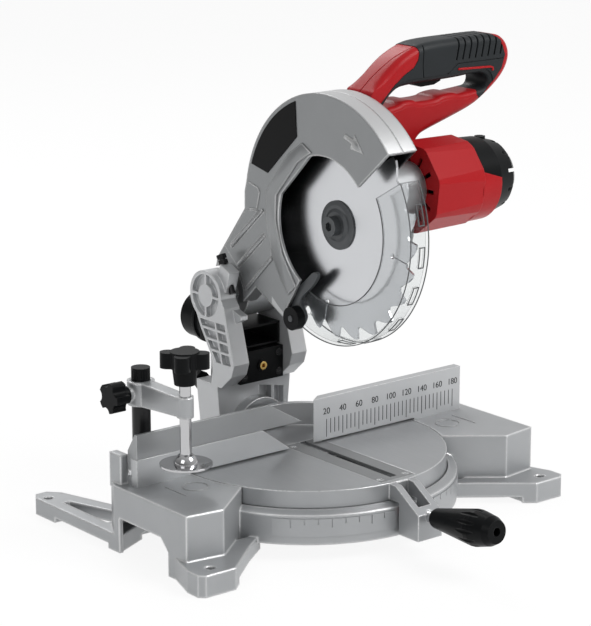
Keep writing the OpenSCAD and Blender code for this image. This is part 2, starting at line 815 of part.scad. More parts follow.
// Arc plate with tilt marks on the back of the boss
module tilt_scale() color(steel) at_tilt() difference() {
    intersection() {
        difference() {
            bar_y(yoke_r - 1, yoke_front + yoke_depth, yoke_front + yoke_depth + 1);
            bar_y(yoke_r - 13, 0, 200);
        }
        front(0, 200) polygon([[0, 0], [-60, 8], [-60, 60], [60, 60], [60, 8]]);
    }
    for (a = [-45 : 7.5 : 45])
        rotate([0, a, 0]) block([-0.4, yoke_front + yoke_depth + 0.5, yoke_r - 7], [0.4, 200, yoke_r]);
}

module laser_housing() color(black_plastic) at_tilt() difference() {
    union() {
        front(laser_front + 3, laser_back) polygon([
            [-cheek_in + seat_gap, laser_low], [-cheek_in + seat_gap, laser_high],
            [cheek_in - seat_gap, laser_high], [cheek_in - seat_gap, laser_low]
        ]);
        bar_y(5.5, laser_front + 1, laser_front + 4, 0, (laser_low + laser_high) / 2);
    }
    bar_y(4 + seat_gap, laser_front, laser_back - 4, 0, (laser_low + laser_high) / 2);
    for (s = [-1, 1], z = [laser_low + 6, laser_high - 6]) {
        bar_y(2 + seat_gap, 0, 200, s * (cheek_in - 5), z);
        bar_y(3.5 + seat_gap, 0, laser_front + 6, s * (cheek_in - 5), z);
    }
}

module laser_lens() color("goldenrod") at_tilt() difference() {
    bar_y(4, laser_front, laser_back - 5, 0, (laser_low + laser_high) / 2);
    bar_y(2, laser_front - 1, laser_front + 6, 0, (laser_low + laser_high) / 2);
}

module laser_screws() color(black_plastic) at_tilt()
    for (s = [-1, 1], z = [laser_low + 6, laser_high - 6]) difference() {
        union() {
            bar_y(3.5, laser_front + 2.4, laser_front + 6, s * (cheek_in - 5), z);
            bar_y(2, laser_front + 5, laser_back + 8, s * (cheek_in - 5), z);
        }
        translate([s * (cheek_in - 5), laser_front + 2, z]) block([-3, 0, -0.4], [3, 1.2, 0.4]);
    }

module head_pivot_pin() color(steel) at_pivot() bar_x(pivot_d / 2, -yoke_half + 6 + seat_gap, yoke_half - 1);

// Torsion spring round the pivot pin, one unbroken tube
spring_left = -cheek_in + slide_gap + spring_wire / 2;
spring_pitch = spring_wire + 0.6;
spring_steps = 8;
spring_sides = 6;
spring_rings = spring_turns * spring_steps;

function spring_point(i) = let (a = 360 * i / spring_steps)
    [spring_left + spring_pitch * i / spring_steps, spring_r * cos(a), spring_r * sin(a)];
function spring_ring(i) = let (a = 360 * i / spring_steps)
    [for (k = [0 : spring_sides - 1]) let (b = 360 * k / spring_sides)
        spring_point(i) + spring_wire / 2 * [cos(b), sin(b) * cos(a), sin(b) * sin(a)]];
spring_points = [for (i = [0 : spring_rings]) each spring_ring(i)];
spring_faces = concat(
    [for (k = [1 : spring_sides - 2]) [0, k + 1, k]],
    [for (k = [1 : spring_sides - 2]) let (o = spring_rings * spring_sides) [o, o + k, o + k + 1]],
    [for (i = [0 : spring_rings - 1], k = [0 : spring_sides - 1], t = [0, 1])
        let (n = (k + 1) % spring_sides, a = i * spring_sides, b = a + spring_sides)
        t == 0 ? [a + k, a + n, b + n] : [a + k, b + n, b + k]]
);
spring_self_gap = min([for (i = [0 : spring_rings - spring_steps])
    norm(spring_point(i + spring_steps) - spring_point(i)) - spring_wire]);
echo(spring_self_gap = spring_self_gap);

module return_spring() color(steel) at_pivot()
    polyhedron(points = spring_points, faces = spring_faces, convexity = 8);

module depth_stop_bolts() color(black_plastic) at_pivot() at_stop() {
    bar_z(stop_r, -16, stop_head);
    translate([0, 0, stop_head]) cylinder(r = stop_nut_r, h = 4, $fn = 6);
    difference() {
        translate([0, 0, stop_nut]) cylinder(r = stop_nut_r, h = 3.5, $fn = 6);
        bar_z(stop_r + seat_gap, stop_nut - 1, stop_head);
    }
}

module tilt_lock_lever() color(black_plastic) at_tilt()
    translate([0, yoke_front + yoke_depth + 2, 0]) rotate([0, -38, 0]) difference() {
        union() {
            bar_y(lever_hub_r, 0, 18);
            front(3, 13) polygon([
                [-9, 0], [-6, tilt_lever_l - 8], [-3, tilt_lever_l],
                [5, tilt_lever_l], [8, tilt_lever_l - 6], [10, 0]
            ]);
        }
        bar_y(tilt_r + turn_fit, -1, 16);
        front(9, 14) polygon([[-4, 16], [-3, tilt_lever_l - 10], [4, tilt_lever_l - 8], [6, 16]]);
    }

// Dust chute under the head knuckle with a round spigot behind the arm
dust_low = 80;
dust_high = 101;
dust_rear = 172;
dust_wall = 2;
dust_z = 94;
module dust_port() color(black_plastic) at_tilt() difference() {
    union() {
        block([-cheek_in + seat_gap, laser_front + 8, dust_low],
              [cheek_in - seat_gap, yoke_front + yoke_depth + 18, dust_high]);
        bar_y(dust_d / 2, yoke_front + yoke_depth + 16, dust_rear, 0, dust_z);
        bar_y(dust_d / 2 + 2, dust_rear - 24, dust_rear - 20, 0, dust_z);
    }
    block([-cheek_in + dust_wall, 0, dust_low + dust_wall],
          [cheek_in - dust_wall, yoke_front + yoke_depth + 20, dust_high - dust_wall]);
    bar_y(dust_d / 2 - dust_wall, yoke_front + yoke_depth + 18, dust_rear + 1, 0, dust_z);
}

// Saw head, drawn about the blade centre
seam_x = -1.5;
knuckle_r = 26;
knuckle_left = -12.5;
knuckle_right = cheek_in - slide_gap;
pivot_from_hub = [hub_reach, -hub_rise];
window_chord = 82;
front_in = [-46, 43];
front_out = [-86, 78];
front_far = front_in + 5 * (front_out - front_in);
tip = [58.5, -95];
window_tip = [30, -48.4];
cavity_r = guard_r - guard_wall;
blade_clear_r = blade_r + 2.5;
axis_gap = norm([motor_fwd, motor_up]);
gear_module = 2 * axis_gap / (gear_teeth + pinion_teeth);
gear_x0 = guard_right + 8;
gear_x1 = gear_x0 + 8;
case_r = gear_module * gear_teeth / 2 + 8;
case_end = gear_x1 + 14;
case_wall = 3;
nose_r = 24;
collar_r = 22;
bearing_r = 16;
motor_shaft_r = 5;
lock_pin_r = 3;
lock_pin_pos = [22, 0];
screw_r = 2;
screw_head_r = 3.6;
screw_boss_r = 4.5;
guard_screw_angles = [60, 90, 120];
guard_screw_r = cavity_r - 1.5;

module guard_cut() {
    polygon([
        [0, 0], front_in, front_far, [-400, front_far[1]], [-400, -300], [tip[0], -300], tip, window_tip
    ]);
}

module guard_outline() {
    difference() {
        union() {
            translate([0, guard_rise]) circle(r = guard_r);
            polygon([
                [40, 80], [guard_r - 6, 42], [guard_r + 1.5, 15.5], [guard_r + 1.7, -1.6],
                pivot_from_hub + [12.8, 32], pivot_from_hub + [20, 10], pivot_from_hub,
                pivot_from_hub + [-19, -12], [99, -74], [99, -74] + 1.5 * (tip - [99, -74]), [20, -60]
            ]);
        }
        guard_cut();
        intersection() {
            circle(r = window_r);
            polygon([[-200, window_chord + 200], [window_chord + 200, -200], [-200, -200]]);
        }
    }
}

module guard_cavity() {
    translate([0, guard_rise]) circle(r = cavity_r);
    circle(r = blade_clear_r);
}

module upper_guard() color(cast_grey) at_hub() difference() {
    union() {
        side(-guard_left, seam_x) guard_outline();
        translate([0, pivot_from_hub[0], pivot_from_hub[1]]) bar_x(knuckle_r, knuckle_left, knuckle_right);
        // Foot of the arm widened to the knuckle
        side(seam_x - 1, knuckle_right) difference() {
            polygon([
                [116, -44], pivot_from_hub + [10, 30], pivot_from_hub + [17, 8],
                pivot_from_hub + [-16, -9], [106, -70]
            ]);
            guard_cavity();
        }
    }
    side(-guard_left + 3, seam_x + 1) difference() {
        guard_cavity();
        for (a = guard_screw_angles)
            translate([0, guard_rise] + polar(guard_screw_r, a)) circle(r = screw_boss_r);
    }
    translate([0, pivot_from_hub[0], pivot_from_hub[1]]) {
        bar_x(knuckle_r + 1, -guard_left - 1, knuckle_left);
        bar_x(pivot_d / 2 + turn_fit, -40, 40);
    }
    // Shallow panel between the ribs of the arm
    side(-guard_left - 1, -guard_left + 1.6)
        polygon([[112, -8], [138, -42], [128, -52], [104, -26]]);
    side(-guard_left - 1, -guard_left + 1.6)
        polygon([[100, -32], [123, -57], [108, -66], [88, -52]]);
    at_guard_screws() bar_x(screw_r + seat_gap, -12, 0);
}

module gear_outline() {
    difference() {
        translate([0, guard_rise]) circle(r = guard_r);
        polygon([
            [-20, 0], front_in, front_far, [-400, front_far[1]],
            [-400, -300], [300, -300], [300, -10], [60, -10]
        ]);
    }
    circle(r = case_r);
}

module case_outline(inset) {
    circle(r = case_r - inset);
    translate([-motor_fwd, motor_up]) circle(r = nose_r - inset);
    // Corners kept inside both circles
    low = case_r - inset - 0.4;
    high = nose_r - inset - 0.4;
    rotate(atan2(motor_up, -motor_fwd))
        polygon([[0, -low], [axis_gap, -high], [axis_gap, high], [0, low]]);
}

module gear_case() color(cast_grey) at_hub() difference() {
    union() {
        difference() {
            side(seam_x, guard_right) gear_outline();
            side(seam_x - 1, guard_right - 3) guard_cavity();
        }
        bar_x(collar_r, 5.5, guard_right);
        side(guard_right - 1, case_end) case_outline(0);
        at_guard_screws() bar_x(screw_boss_r, seam_x, guard_right - 1);
    }
    side(guard_right + 6, case_end - 8) case_outline(case_wall);
    // Bearing seats and shaft holes
    bar_x(spindle_d / 2 + 1.5, 0, case_end - 1);
    bar_x(bearing_r + seat_gap, guard_right, guard_right + 7);
    bar_x(bearing_r + seat_gap, case_end - 9, case_end - 2);
    translate([0, -motor_fwd, motor_up]) {
        bar_x(nose_r - 8, gear_x1, case_end + 1);
        bar_x(motor_shaft_r + 1, guard_right + 2, case_end);
    }
    bar_x(lock_pin_r + turn_fit, gear_x1, case_end + 1, lock_pin_pos[0], lock_pin_pos[1]);
    at_guard_screws() {
        bar_x(screw_r + seat_gap, seam_x - 1, guard_right + 1);
        bar_x(screw_head_r + seat_gap, guard_right - 2.5, guard_right + 1);
    }
}

gear_backlash = 0.25;

// Extra involute angle of a flank at radius r over base radius rb, in degrees
function involute_angle(r, rb) = let (t = sqrt(max(0, pow(r / rb, 2) - 1))) t * 180 / PI - atan(t);

// Half angle of a tooth at radius r
function half_tooth(n, rp, r) = let (rb = rp * cos(20))
    90 / n - gear_backlash / rp * 180 / PI + involute_angle(rp, rb) - involute_angle(max(r, rb), rb);

function polar(r, a) = [r * cos(a), r * sin(a)];

// Outline of a spur gear with n involute teeth and a tooth centred on the first axis
module gear_shape(n) {
    rp = gear_module * n / 2;
    radii = [for (k = [-0.9, -0.45, 0, 0.3, 0.6]) rp + k * gear_module];
    polygon([for (i = [0 : n - 1]) each concat(
        [for (k = [0 : 4]) polar(radii[k], 360 * i / n - half_tooth(n, rp, radii[k]))],
        [for (k = [4 : -1 : 0]) polar(radii[k], 360 * i / n + half_tooth(n, rp, radii[k]))]
    )]);
}

// Bare plate on the upper guard
plate_t = 0.8;
module guard_plate() color(black_plastic) at_hub() side(-guard_left - plate_t, -guard_left) intersection() {
    translate([0, guard_rise]) circle(r = guard_r - 4);
    polygon([[80, 38], [37.6, 77.5], [41, 130], [130, 130], [130, 49]]);
}

module at_guard_screws() {
    for (a = guard_screw_angles)
        translate([0, guard_screw_r * cos(a), guard_rise + guard_screw_r * sin(a)]) children();
}

module guard_screws() color(steel) at_hub() at_guard_screws() difference() {
    union() {
        bar_x(screw_r, -12, guard_right - 2);
        bar_x(screw_head_r, guard_right - 2.5, guard_right - 0.2);
    }
    block([guard_right - 1.2, -3, -0.5], [guard_right, 3, 0.5]);
}

// Motor, drawn about its own axis
housing_end = motor_end - 50;
stator_r = motor_d / 2 - 7.6;
flat_r = motor_d / 2 - 2.4;
armature_r = motor_d / 2 - 19;
fan_r = stator_r - 0.4;
brush_x = motor_end - 20;
brush_r = 5;
cap_r1 = motor_d / 2 - 4;
cap_r2 = motor_d / 2 - 16;
cap_wall = 3;
tongue_l = 22;
rear_bearing_r = 11;
module at_motor() { at_hub() translate([0, -motor_fwd, motor_up]) children(); }

// Ring about X from a profile drawn as (distance along X, radius)
module turned() {
    rotate([0, 90, 0]) rotate_extrude() mirror([1, -1]) children();
}

module motor_housing() color(red_paint) at_motor() difference() {
    union() {
        // Shell with eight flats
        intersection() {
            turned() polygon([
                [case_end, motor_shaft_r + 4], [case_end, motor_d / 2], [housing_end, motor_d / 2 - 1],
                [housing_end, stator_r + seat_gap], [case_end + 4, stator_r + seat_gap],
                [case_end + 4, motor_shaft_r + 4]
            ]);
            side(case_end - 1, housing_end + 1)
                polygon([for (i = [0 : 7]) polar(flat_r / cos(22.5), 45 * i + 30)]);
        }
        // Tongue over the lower half of the end cap
        intersection() {
            turned() polygon([
                [housing_end - 1, cap_r1 + seat_gap], [housing_end - 1, motor_d / 2 - 2],
                [housing_end + tongue_l, motor_d / 2 - 2.6], [housing_end + tongue_l, cap_r1 + seat_gap]
            ]);
            front(-60, 60) polygon([
                [housing_end - 2, 12], [housing_end + 2, 12], [housing_end + tongue_l + 1, 5],
                [housing_end + tongue_l + 1, -60], [housing_end - 2, -60]
            ]);
        }
    }
    for (a = [0 : 30 : 330])
        rotate([a, 0, 0]) block([case_end - 1, motor_d / 2 - 20, -2], [case_end + 5, motor_d / 2 - 9, 2]);
}

module motor_end_cap() color(black_plastic) at_motor() difference() {
    union() {
        turned() polygon([
            [housing_end, cap_r1 - cap_wall], [housing_end, cap_r1], [motor_end - 26, cap_r1 - 1],
            [motor_end - 7, cap_r1 - 6], [motor_end, cap_r2], [motor_end, 0], [motor_end - cap_wall, 0],
            [motor_end - cap_wall, cap_r2 - 2], [motor_end - 9, cap_r1 - 9],
            [motor_end - 27, cap_r1 - cap_wall - 1]
        ]);
        turned() polygon([
            [motor_end - 18, rear_bearing_r + seat_gap], [motor_end - 18, rear_bearing_r + 3],
            [motor_end - 1, rear_bearing_r + 3], [motor_end - 1, rear_bearing_r + seat_gap]
        ]);
    }
    // Cooling slots round the rim
    for (a = [15 : 30 : 345])
        rotate([a, 0, 0]) block([motor_end - 14, cap_r2 - 8, -1.6], [motor_end + 1, cap_r1 + 1, 1.6]);
    at_brushes() bar_z(brush_r + seat_gap, cap_r1 - 10, cap_r1 + 2);
}

// Both brush holders, above and below the commutator
module at_brushes() { for (a = [0, 180]) rotate([a, 0, 0]) translate([brush_x, 0, 0]) children(); }

module brush_caps() color(dark_grey) at_motor() at_brushes() difference() {
    bar_z(brush_r, cap_r1 - 9, cap_r1 - 1);
    block([-5, -0.8, cap_r1 - 2], [5, 0.8, cap_r1]);
}

module motor_stator() color(dark_grey) at_motor() difference() {
    bar_x(stator_r, case_end + 20, housing_end + 8);
    bar_x(armature_r + 1, 0, motor_end);
}

module armature() color(steel) at_motor() {
    bar_x(motor_shaft_r, guard_right + 6.6, motor_end - 9);
    rotate([0, 90, 0]) rotate([0, 0, 90]) translate([0, 0, gear_x0]) linear_extrude(gear_x1 - gear_x0)
        rotate(atan2(motor_up, -motor_fwd) + 180 + 180 / pinion_teeth) gear_shape(pinion_teeth);
    difference() {
        bar_x(armature_r, case_end + 24, housing_end + 4);
        for (a = [0 : 30 : 330])
            rotate([a, 0, 0]) block([0, armature_r - 6, -1], [motor_end, armature_r + 1, 1]);
    }
    bar_x(13, housing_end + 18, housing_end + 31);
}

module cooling_fan() color(black_plastic) at_motor() difference() {
    union() {
        bar_x(fan_r, case_end + 8, case_end + 10);
        bar_x(11, case_end + 8, case_end + 19);
        for (a = [0 : 24 : 336])
            rotate([a, 0, 0]) block([case_end + 9, 10, -0.8], [case_end + 18, fan_r, 0.8]);
    }
    bar_x(motor_shaft_r + seat_gap, 0, motor_end);
}

// One ball bearing: two rings joined by a recessed shield
module bearing(r_in, r_out, x0, x1) {
    mid = (r_in + r_out) / 2;
    land = (r_out - r_in) / 4;
    difference() {
        bar_x(r_out, x0, x1);
        bar_x(r_in, x0 - 1, x1 + 1);
        for (x = [x0 - 1, x1 - 0.6]) difference() {
            bar_x(mid + land, x, x + 1.6);
            bar_x(mid - land, x - 1, x + 3);
        }
    }
}

module ball_bearings() color(steel) {
    at_hub() {
        bearing(spindle_r + turn_fit, bearing_r, guard_right, guard_right + 6.5);
        bearing(spindle_r + turn_fit, bearing_r, case_end - 7.4, case_end - 2);
    }
    at_motor() {
        bearing(motor_shaft_r + turn_fit, nose_r - 8 - seat_gap, case_end - 7, case_end - 1);
        bearing(motor_shaft_r + turn_fit, rear_bearing_r, motor_end - 17, motor_end - 10);
    }
}

// Handle, a D that reaches right above the motor, drawn about the blade centre as right and up
handle_mid = -handle_fwd;
handle_near = handle_mid - handle_w / 2;
handle_far = handle_mid + handle_w / 2;
grip_proud = 1;
handle_wall = 3.5;
handle_root = guard_right + 1;
handle_base = 46;
handle_spots = [[118, 98.8], [80, 92.7], [44, 134.7], [26, 95]];
groove_first = 117.5;
groove_step = 8;
grip_top = 162;
trigger_hinge = [80, 140];
trigger_half = 7;
lock_off_pos = [96, 149];
lock_off_r = 5;
inlet_pos = [38, 84];

handle_seat = 121.4;
handle_lift = guard_rise + guard_r - handle_seat;

// The handle stands on the top of the guard
module at_handle() { at_hub() translate([0, 0, handle_lift]) children(); }
module at_trigger() { translate([trigger_hinge[0], 0, trigger_hinge[1]]) children(); }
module at_lock_off() { translate([lock_off_pos[0], 0, lock_off_pos[1]]) children(); }

module handle_outline() {
    polygon([
        [handle_root, 120.4], [45.7, 146], [61, 154], [76, 159.4], [95, 161], [168, 161.4], [177, 159],
        [185, 151], [188, 139.5], [183.5, 127], [173, 115.5], [155, 103.5], [140, 95.5], [110.5, 86.7],
        [75, 76.5], [68, 68], [60, handle_base], [handle_root, handle_base]
    ]);
}

module handle_opening() {
    polygon([
        [30, 107], [46, 122], [61, 124], [119.6, 125], [139.5, 126.5], [153, 126.5], [159.5, 120],
        [157, 112], [146, 111], [132, 110], [104, 107.5], [64, 107.2], [34, 105]
    ]);
}

module grip_outline() {
    difference() {
        polygon([
            [70.4, 159.3], [95, grip_top], [167, grip_top + 0.4], [176.5, 155.5], [182, 141], [177, 128.4],
            [158, 109], [148, 103.2], [144, 107.4], [149, 117], [60, 118], [33, 106.6], [28, 108.4],
            [26.4, 110.5], [43, 125.6], [55, 134], [66, 139.4], [72, 148], [71.6, 155]
        ]);
        handle_opening();
    }
}

module handle_red() {
    difference() {
        handle_outline();
        handle_opening();
        grip_outline();
    }
}

module handle_shell(y0, y1, hollow0, hollow1) {
    difference() {
        front(y0, y1) handle_red();
        front(hollow0, hollow1) difference() {
            offset(delta = -handle_wall) handle_red();
            for (p = handle_spots) translate(p) circle(r = 5.5);
        }
        for (p = handle_spots) translate([p[0], 0, p[1]]) {
            bar_y(screw_r + seat_gap, handle_near + 4, handle_far + 1);
            bar_y(screw_head_r + seat_gap, handle_far - 4, handle_far + 1);
        }
        // Saddle over the gear case and the motor
        translate([0, 0, -handle_lift]) {
            side(0, case_end + seat_gap) case_outline(-seat_gap);
            translate([0, -motor_fwd, motor_up])
                bar_x(motor_d / 2 + seat_gap, case_end - seat_gap, motor_end);
        }
    }
}

module handle_front() color(red_paint) at_handle()
    handle_shell(handle_near, handle_mid, handle_near + handle_wall, handle_mid + 1);

module handle_rear() color(red_paint) at_handle()
    handle_shell(handle_mid, handle_far, handle_mid - 1, handle_far - handle_wall - 1.5);

module handle_grip() color(black_plastic) at_handle() difference() {
    front(handle_near - grip_proud, handle_far + grip_proud) grip_outline();
    // Grooves across the top
    for (i = [0 : 6])
        translate([groove_first + groove_step * i, 0, grip_top])
            block([-0.9, handle_near - 3, -1.2], [0.9, handle_far + 3, 6]);
    // Pocket of the trigger and hole of the lock-off button
    front(handle_mid - trigger_half - slide_gap, handle_mid + trigger_half + slide_gap)
        polygon([[73.4, 117], [73.4, 147], [113, 147.5], [113, 117]]);
    at_lock_off() bar_y(lock_off_r + slide_gap, handle_mid + trigger_half + 3, handle_far + 3);
    at_trigger() bar_y(2, handle_near + 6, handle_far - 6);
}

module handle_screws() color(steel) at_handle()
    for (p = handle_spots) translate([p[0], 0, p[1]]) difference() {
        union() {
            bar_y(screw_r, handle_near + 4.2, handle_far - 3.5);
            bar_y(screw_head_r, handle_far - 3.9, handle_far - 1.2);
        }
        block([-3, handle_far - 2.4, -0.5], [3, handle_far, 0.5]);
    }

module cord_inlet() color(black_plastic) at_handle()
    translate([inlet_pos[0], handle_far, inlet_pos[1]]) rotate([-90, 0, 0]) difference() {
        union() {
            cylinder(r1 = 9, r2 = 6.5, h = 24);
            cylinder(r = 11, h = 4);
        }
        for (i = [0 : 3]) difference() {
            bar_z(20, 7 + 4 * i, 8.6 + 4 * i);
            bar_z(6 - 0.3 * i, 0, 40);
        }
        bar_z(3.5, -1, 30);
    }

module trigger() color(black_plastic) at_handle() {
    front(handle_mid - trigger_half, handle_mid + trigger_half)
        polygon([[76, 139], [76, 121.5], [84, 119], [100, 119.5], [108, 122.5], [109, 139.6], [82, 143.5]]);
    at_trigger() bar_y(2 - turn_fit, handle_near + 6.5, handle_far - 6.5);
}

module lock_off_button() color(red_paint) at_handle() at_lock_off()
    bar_y(lock_off_r, handle_mid + trigger_half + 7, handle_far + grip_proud + 4);

lock_travel = 6;
module spindle_lock_button() color(black_plastic) at_hub() translate([0, lock_pin_pos[0], lock_pin_pos[1]]) {
    bar_x(lock_pin_r, gear_x1 + 1.5, case_end + 8);
    bar_x(8, case_end + lock_travel + 0.6, case_end + lock_travel + 8);
}

// Blade and spindle, drawn about the blade centre
spindle_r = spindle_d / 2;
flange_r = flange_d / 2;
flange_in = blade_t / 2;
bolt_thread_r = 4;
bolt_head_r = 9;
bolt_head_l = 8;

module spindle() color(steel) at_hub() difference() {
    bar_x(spindle_r, -flange_in - flange_t + 0.2, case_end - 1);
    bar_x(bolt_thread_r + seat_gap, -flange_in - flange_t - 1, 16);
}

// Blade outline with hooked teeth
function tooth_points(i) = let (p = 360 / blade_teeth, a = p * i) [
    polar(blade_r, a), polar(blade_r - 0.5, a + p * 0.16), polar(blade_r - 3.5, a + p * 0.36),
    polar(blade_r - gullet_depth * 0.8, a + p * 0.62), polar(blade_r - gullet_depth, a + p * 0.78),
    polar(blade_r - gullet_depth * 0.85, a + p * 0.92)
];

module blade() color(steel) at_hub() side(-flange_in, flange_in) difference() {
    polygon([for (i = [0 : blade_teeth - 1]) each tooth_points(i)]);
    circle(r = blade_bore_d / 2);
    // Expansion slots with round ends
    for (i = [0 : 3]) rotate(90 * i + 360 / blade_teeth * 0.78) {
        translate([blade_r - gullet_depth - 18, -0.5]) square([20, 1]);
        translate([blade_r - gullet_depth - 18, 0]) circle(r = 2.5);
    }
}

module inner_flange() color(dark_grey) at_hub() difference() {
    union() {
        bar_x(flange_r, flange_in, flange_in + flange_t - 0.2);
        bar_x(blade_bore_d / 2 - seat_gap, -flange_in + 0.2, flange_in + 1);
    }
    bar_x(spindle_r + seat_gap, -20, 20);
}

module outer_flange() color(dark_grey) at_hub() difference() {
    turned() polygon([
        [-flange_in, 0], [-flange_in, flange_r], [-flange_in - 1.6, flange_r],
        [-flange_in - 2.4, flange_r - 4], [-flange_in - 2.4, flange_r - 7],
        [-flange_in - flange_t, flange_r - 10], [-flange_in - flange_t, 0]
    ]);
    bar_x(spindle_r + seat_gap, -20, 20);
}

module arbor_bolt() color(dark_grey) at_hub() difference() {
    union() {
        bar_x(bolt_thread_r, -flange_in - flange_t - 1, 14);
        bar_x(bolt_head_r, -flange_in - flange_t - bolt_head_l, -flange_in - flange_t);
    }
    translate([-flange_in - flange_t - bolt_head_l - 1, 0, 0])
        rotate([0, 90, 0]) cylinder(r = 4.6, h = 6, $fn = 6);
}

lock_hole_count = 12;
module drive_gear() color(steel) at_hub() side(gear_x0, gear_x1) difference() {
    rotate(atan2(motor_up, -motor_fwd)) gear_shape(gear_teeth);
    circle(r = spindle_r + seat_gap);
    for (i = [0 : lock_hole_count - 1])
        rotate(360 / lock_hole_count * i) translate([norm(lock_pin_pos), 0]) circle(r = lock_pin_r + 0.4);
}

// Lower guard, drawn about the blade centre
guard_from = 150;
guard_to = 299;
guard_x0 = -11;
guard_x1 = guard_right - 3.6;
plate_in_r = 72;
roller_pos = [41, -92];
roller_pin_r = 3;

module guard_sector() {
    polygon(concat([[0, 0]], [for (i = [0 : 6]) polar(220, guard_from + (guard_to - guard_from) * i / 6)]));
}

module lower_guard() color(clear_plastic) at_hub() difference() {
    union() {
        side(guard_x0, guard_x1) intersection() {
            difference() {
                circle(r = lower_guard_r);
                circle(r = lower_guard_r - lower_guard_t);
            }
            guard_sector();
        }
        side(guard_x0, guard_x0 + lower_guard_t) intersection() {
            difference() {
                circle(r = lower_guard_r);
                circle(r = plate_in_r);
            }
            guard_sector();
        }
        side(guard_x1 - lower_guard_t, guard_x1) intersection() {
            circle(r = lower_guard_r);
            guard_sector();
        }
        bar_x(collar_r + 6, 6, guard_x1);
    }
    bar_x(collar_r + turn_fit, 0, 20);
    // Sight slots in the rim
    for (i = [0 : 5])
        rotate([guard_from + 16 + 20 * i, 0, 0]) translate([0, lower_guard_r - 4, -9])
            cube([5, 8, 18]);
}

module guard_lever() color(dark_grey) at_hub() {
    side(guard_x0 - 4, guard_x0) {
        difference() {
            union() {
                translate(roller_pos) circle(r = 8.5);
                polygon([[32, -95], [49, -88], [38, -56], [27, -38], [17, -42], [22, -58]]);
            }
            translate(roller_pos) circle(r = roller_pin_r - 0.5);
        }
    }
    bar_x(roller_pin_r, guard_x0 - 14, guard_x0 - 3, roller_pos[0], roller_pos[1]);
}

module guard_roller() color(black_plastic) at_hub() difference() {
    bar_x(roller_r, guard_x0 - 13, guard_x0 - 4 - slide_gap, roller_pos[0], roller_pos[1]);
    bar_x(roller_pin_r + turn_fit, -100, 100, roller_pos[0], roller_pos[1]);
}

// The part stands with its origin at the centre of the bench holes
module in_frame() { translate([0, -bench_mid_y, 0]) children(); }

in_frame() base_casting();
in_frame() fence();
in_frame() fence_bolts();
in_frame() table_pivot_bolt();
in_frame() mitre_scale();
in_frame() clamp_post();
in_frame() clamp_post_cap();
in_frame() sliding_fence();
in_frame() fence_lock_knob();
in_frame() clamp_arm();
in_frame() clamp_side_knob();
in_frame() clamp_pad();
in_frame() clamp_screw();
in_frame() clamp_knob();
in_frame() turntable();
in_frame() kerf_insert();
in_frame() insert_screws();
in_frame() mitre_pointer();
in_frame() tilt_pivot_bolt();
in_frame() mitre_lock_rod();
in_frame() mitre_lock_handle();
in_frame() tilt_arm();
in_frame() tilt_scale();
in_frame() laser_housing();
in_frame() laser_lens();
in_frame() laser_screws();
in_frame() head_pivot_pin();
in_frame() return_spring();
in_frame() depth_stop_bolts();
in_frame() tilt_lock_lever();
in_frame() dust_port();
in_frame() upper_guard();
in_frame() gear_case();
in_frame() guard_plate();
in_frame() guard_screws();
in_frame() motor_housing();
in_frame() motor_end_cap();
in_frame() motor_stator();
in_frame() brush_caps();
in_frame() handle_front();
in_frame() handle_rear();
in_frame() handle_grip();
in_frame() handle_screws();
in_frame() cord_inlet();
in_frame() ball_bearings();
in_frame() trigger();
in_frame() lock_off_button();
in_frame() spindle_lock_button();
in_frame() spindle();
in_frame() blade();
in_frame() inner_flange();
in_frame() outer_flange();
in_frame() arbor_bolt();
in_frame() drive_gear();
in_frame() armature();
in_frame() cooling_fan();
in_frame() lower_guard();
in_frame() guard_lever();
in_frame() guard_roller();
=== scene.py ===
"""Looks of a bench mitre saw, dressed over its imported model.

Each group is one sub-assembly of the saw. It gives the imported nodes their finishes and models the
forms that soften or complete them. Lengths are written in millimetres and placed in metres.
"""

from __future__ import annotations

import logging
import math
from dataclasses import dataclass, replace
from enum import Enum
from typing import ClassVar, Iterable, Sequence, Union

import bpy
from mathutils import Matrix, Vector


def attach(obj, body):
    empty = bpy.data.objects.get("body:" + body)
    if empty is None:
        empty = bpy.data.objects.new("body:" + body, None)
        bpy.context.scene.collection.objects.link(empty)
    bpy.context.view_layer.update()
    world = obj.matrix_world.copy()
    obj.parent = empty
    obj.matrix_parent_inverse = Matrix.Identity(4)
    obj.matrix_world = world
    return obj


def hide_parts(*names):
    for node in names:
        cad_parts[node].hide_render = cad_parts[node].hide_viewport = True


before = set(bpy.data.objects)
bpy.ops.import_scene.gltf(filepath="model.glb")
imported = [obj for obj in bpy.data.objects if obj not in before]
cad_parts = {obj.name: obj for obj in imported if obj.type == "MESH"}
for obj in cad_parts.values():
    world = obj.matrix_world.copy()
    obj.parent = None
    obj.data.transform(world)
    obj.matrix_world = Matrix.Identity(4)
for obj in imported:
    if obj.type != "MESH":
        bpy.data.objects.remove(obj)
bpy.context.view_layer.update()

MM = 0.001
LOG = logging.getLogger("mitre_saw")

Point = tuple[float, float]
Spot = tuple[float, float, float]
Colour = tuple[float, float, float]
Value = Union["Wire", float]
Outline = Sequence[Point]
Piece = bpy.types.Object
Node = bpy.types.Node
Tree = bpy.types.NodeTree


class Axis(Enum):
    """The direction that an outline is drawn along."""

    X = 0
    Y = 1
    Z = 2

    def place(self, along: float, first: float, second: float) -> Vector:
        """Point at a distance along the axis and two across it, in metres from millimetres."""
        spots = {
            Axis.X: (along, first, second),
            Axis.Y: (first, along, second),
            Axis.Z: (first, second, along),
        }
        return Vector(spots[self]) * MM


class Blend(Enum):
    """What a cutter does to a piece."""

    CUT = "DIFFERENCE"
    KEEP = "INTERSECT"
    JOIN = "UNION"


# Shader maths


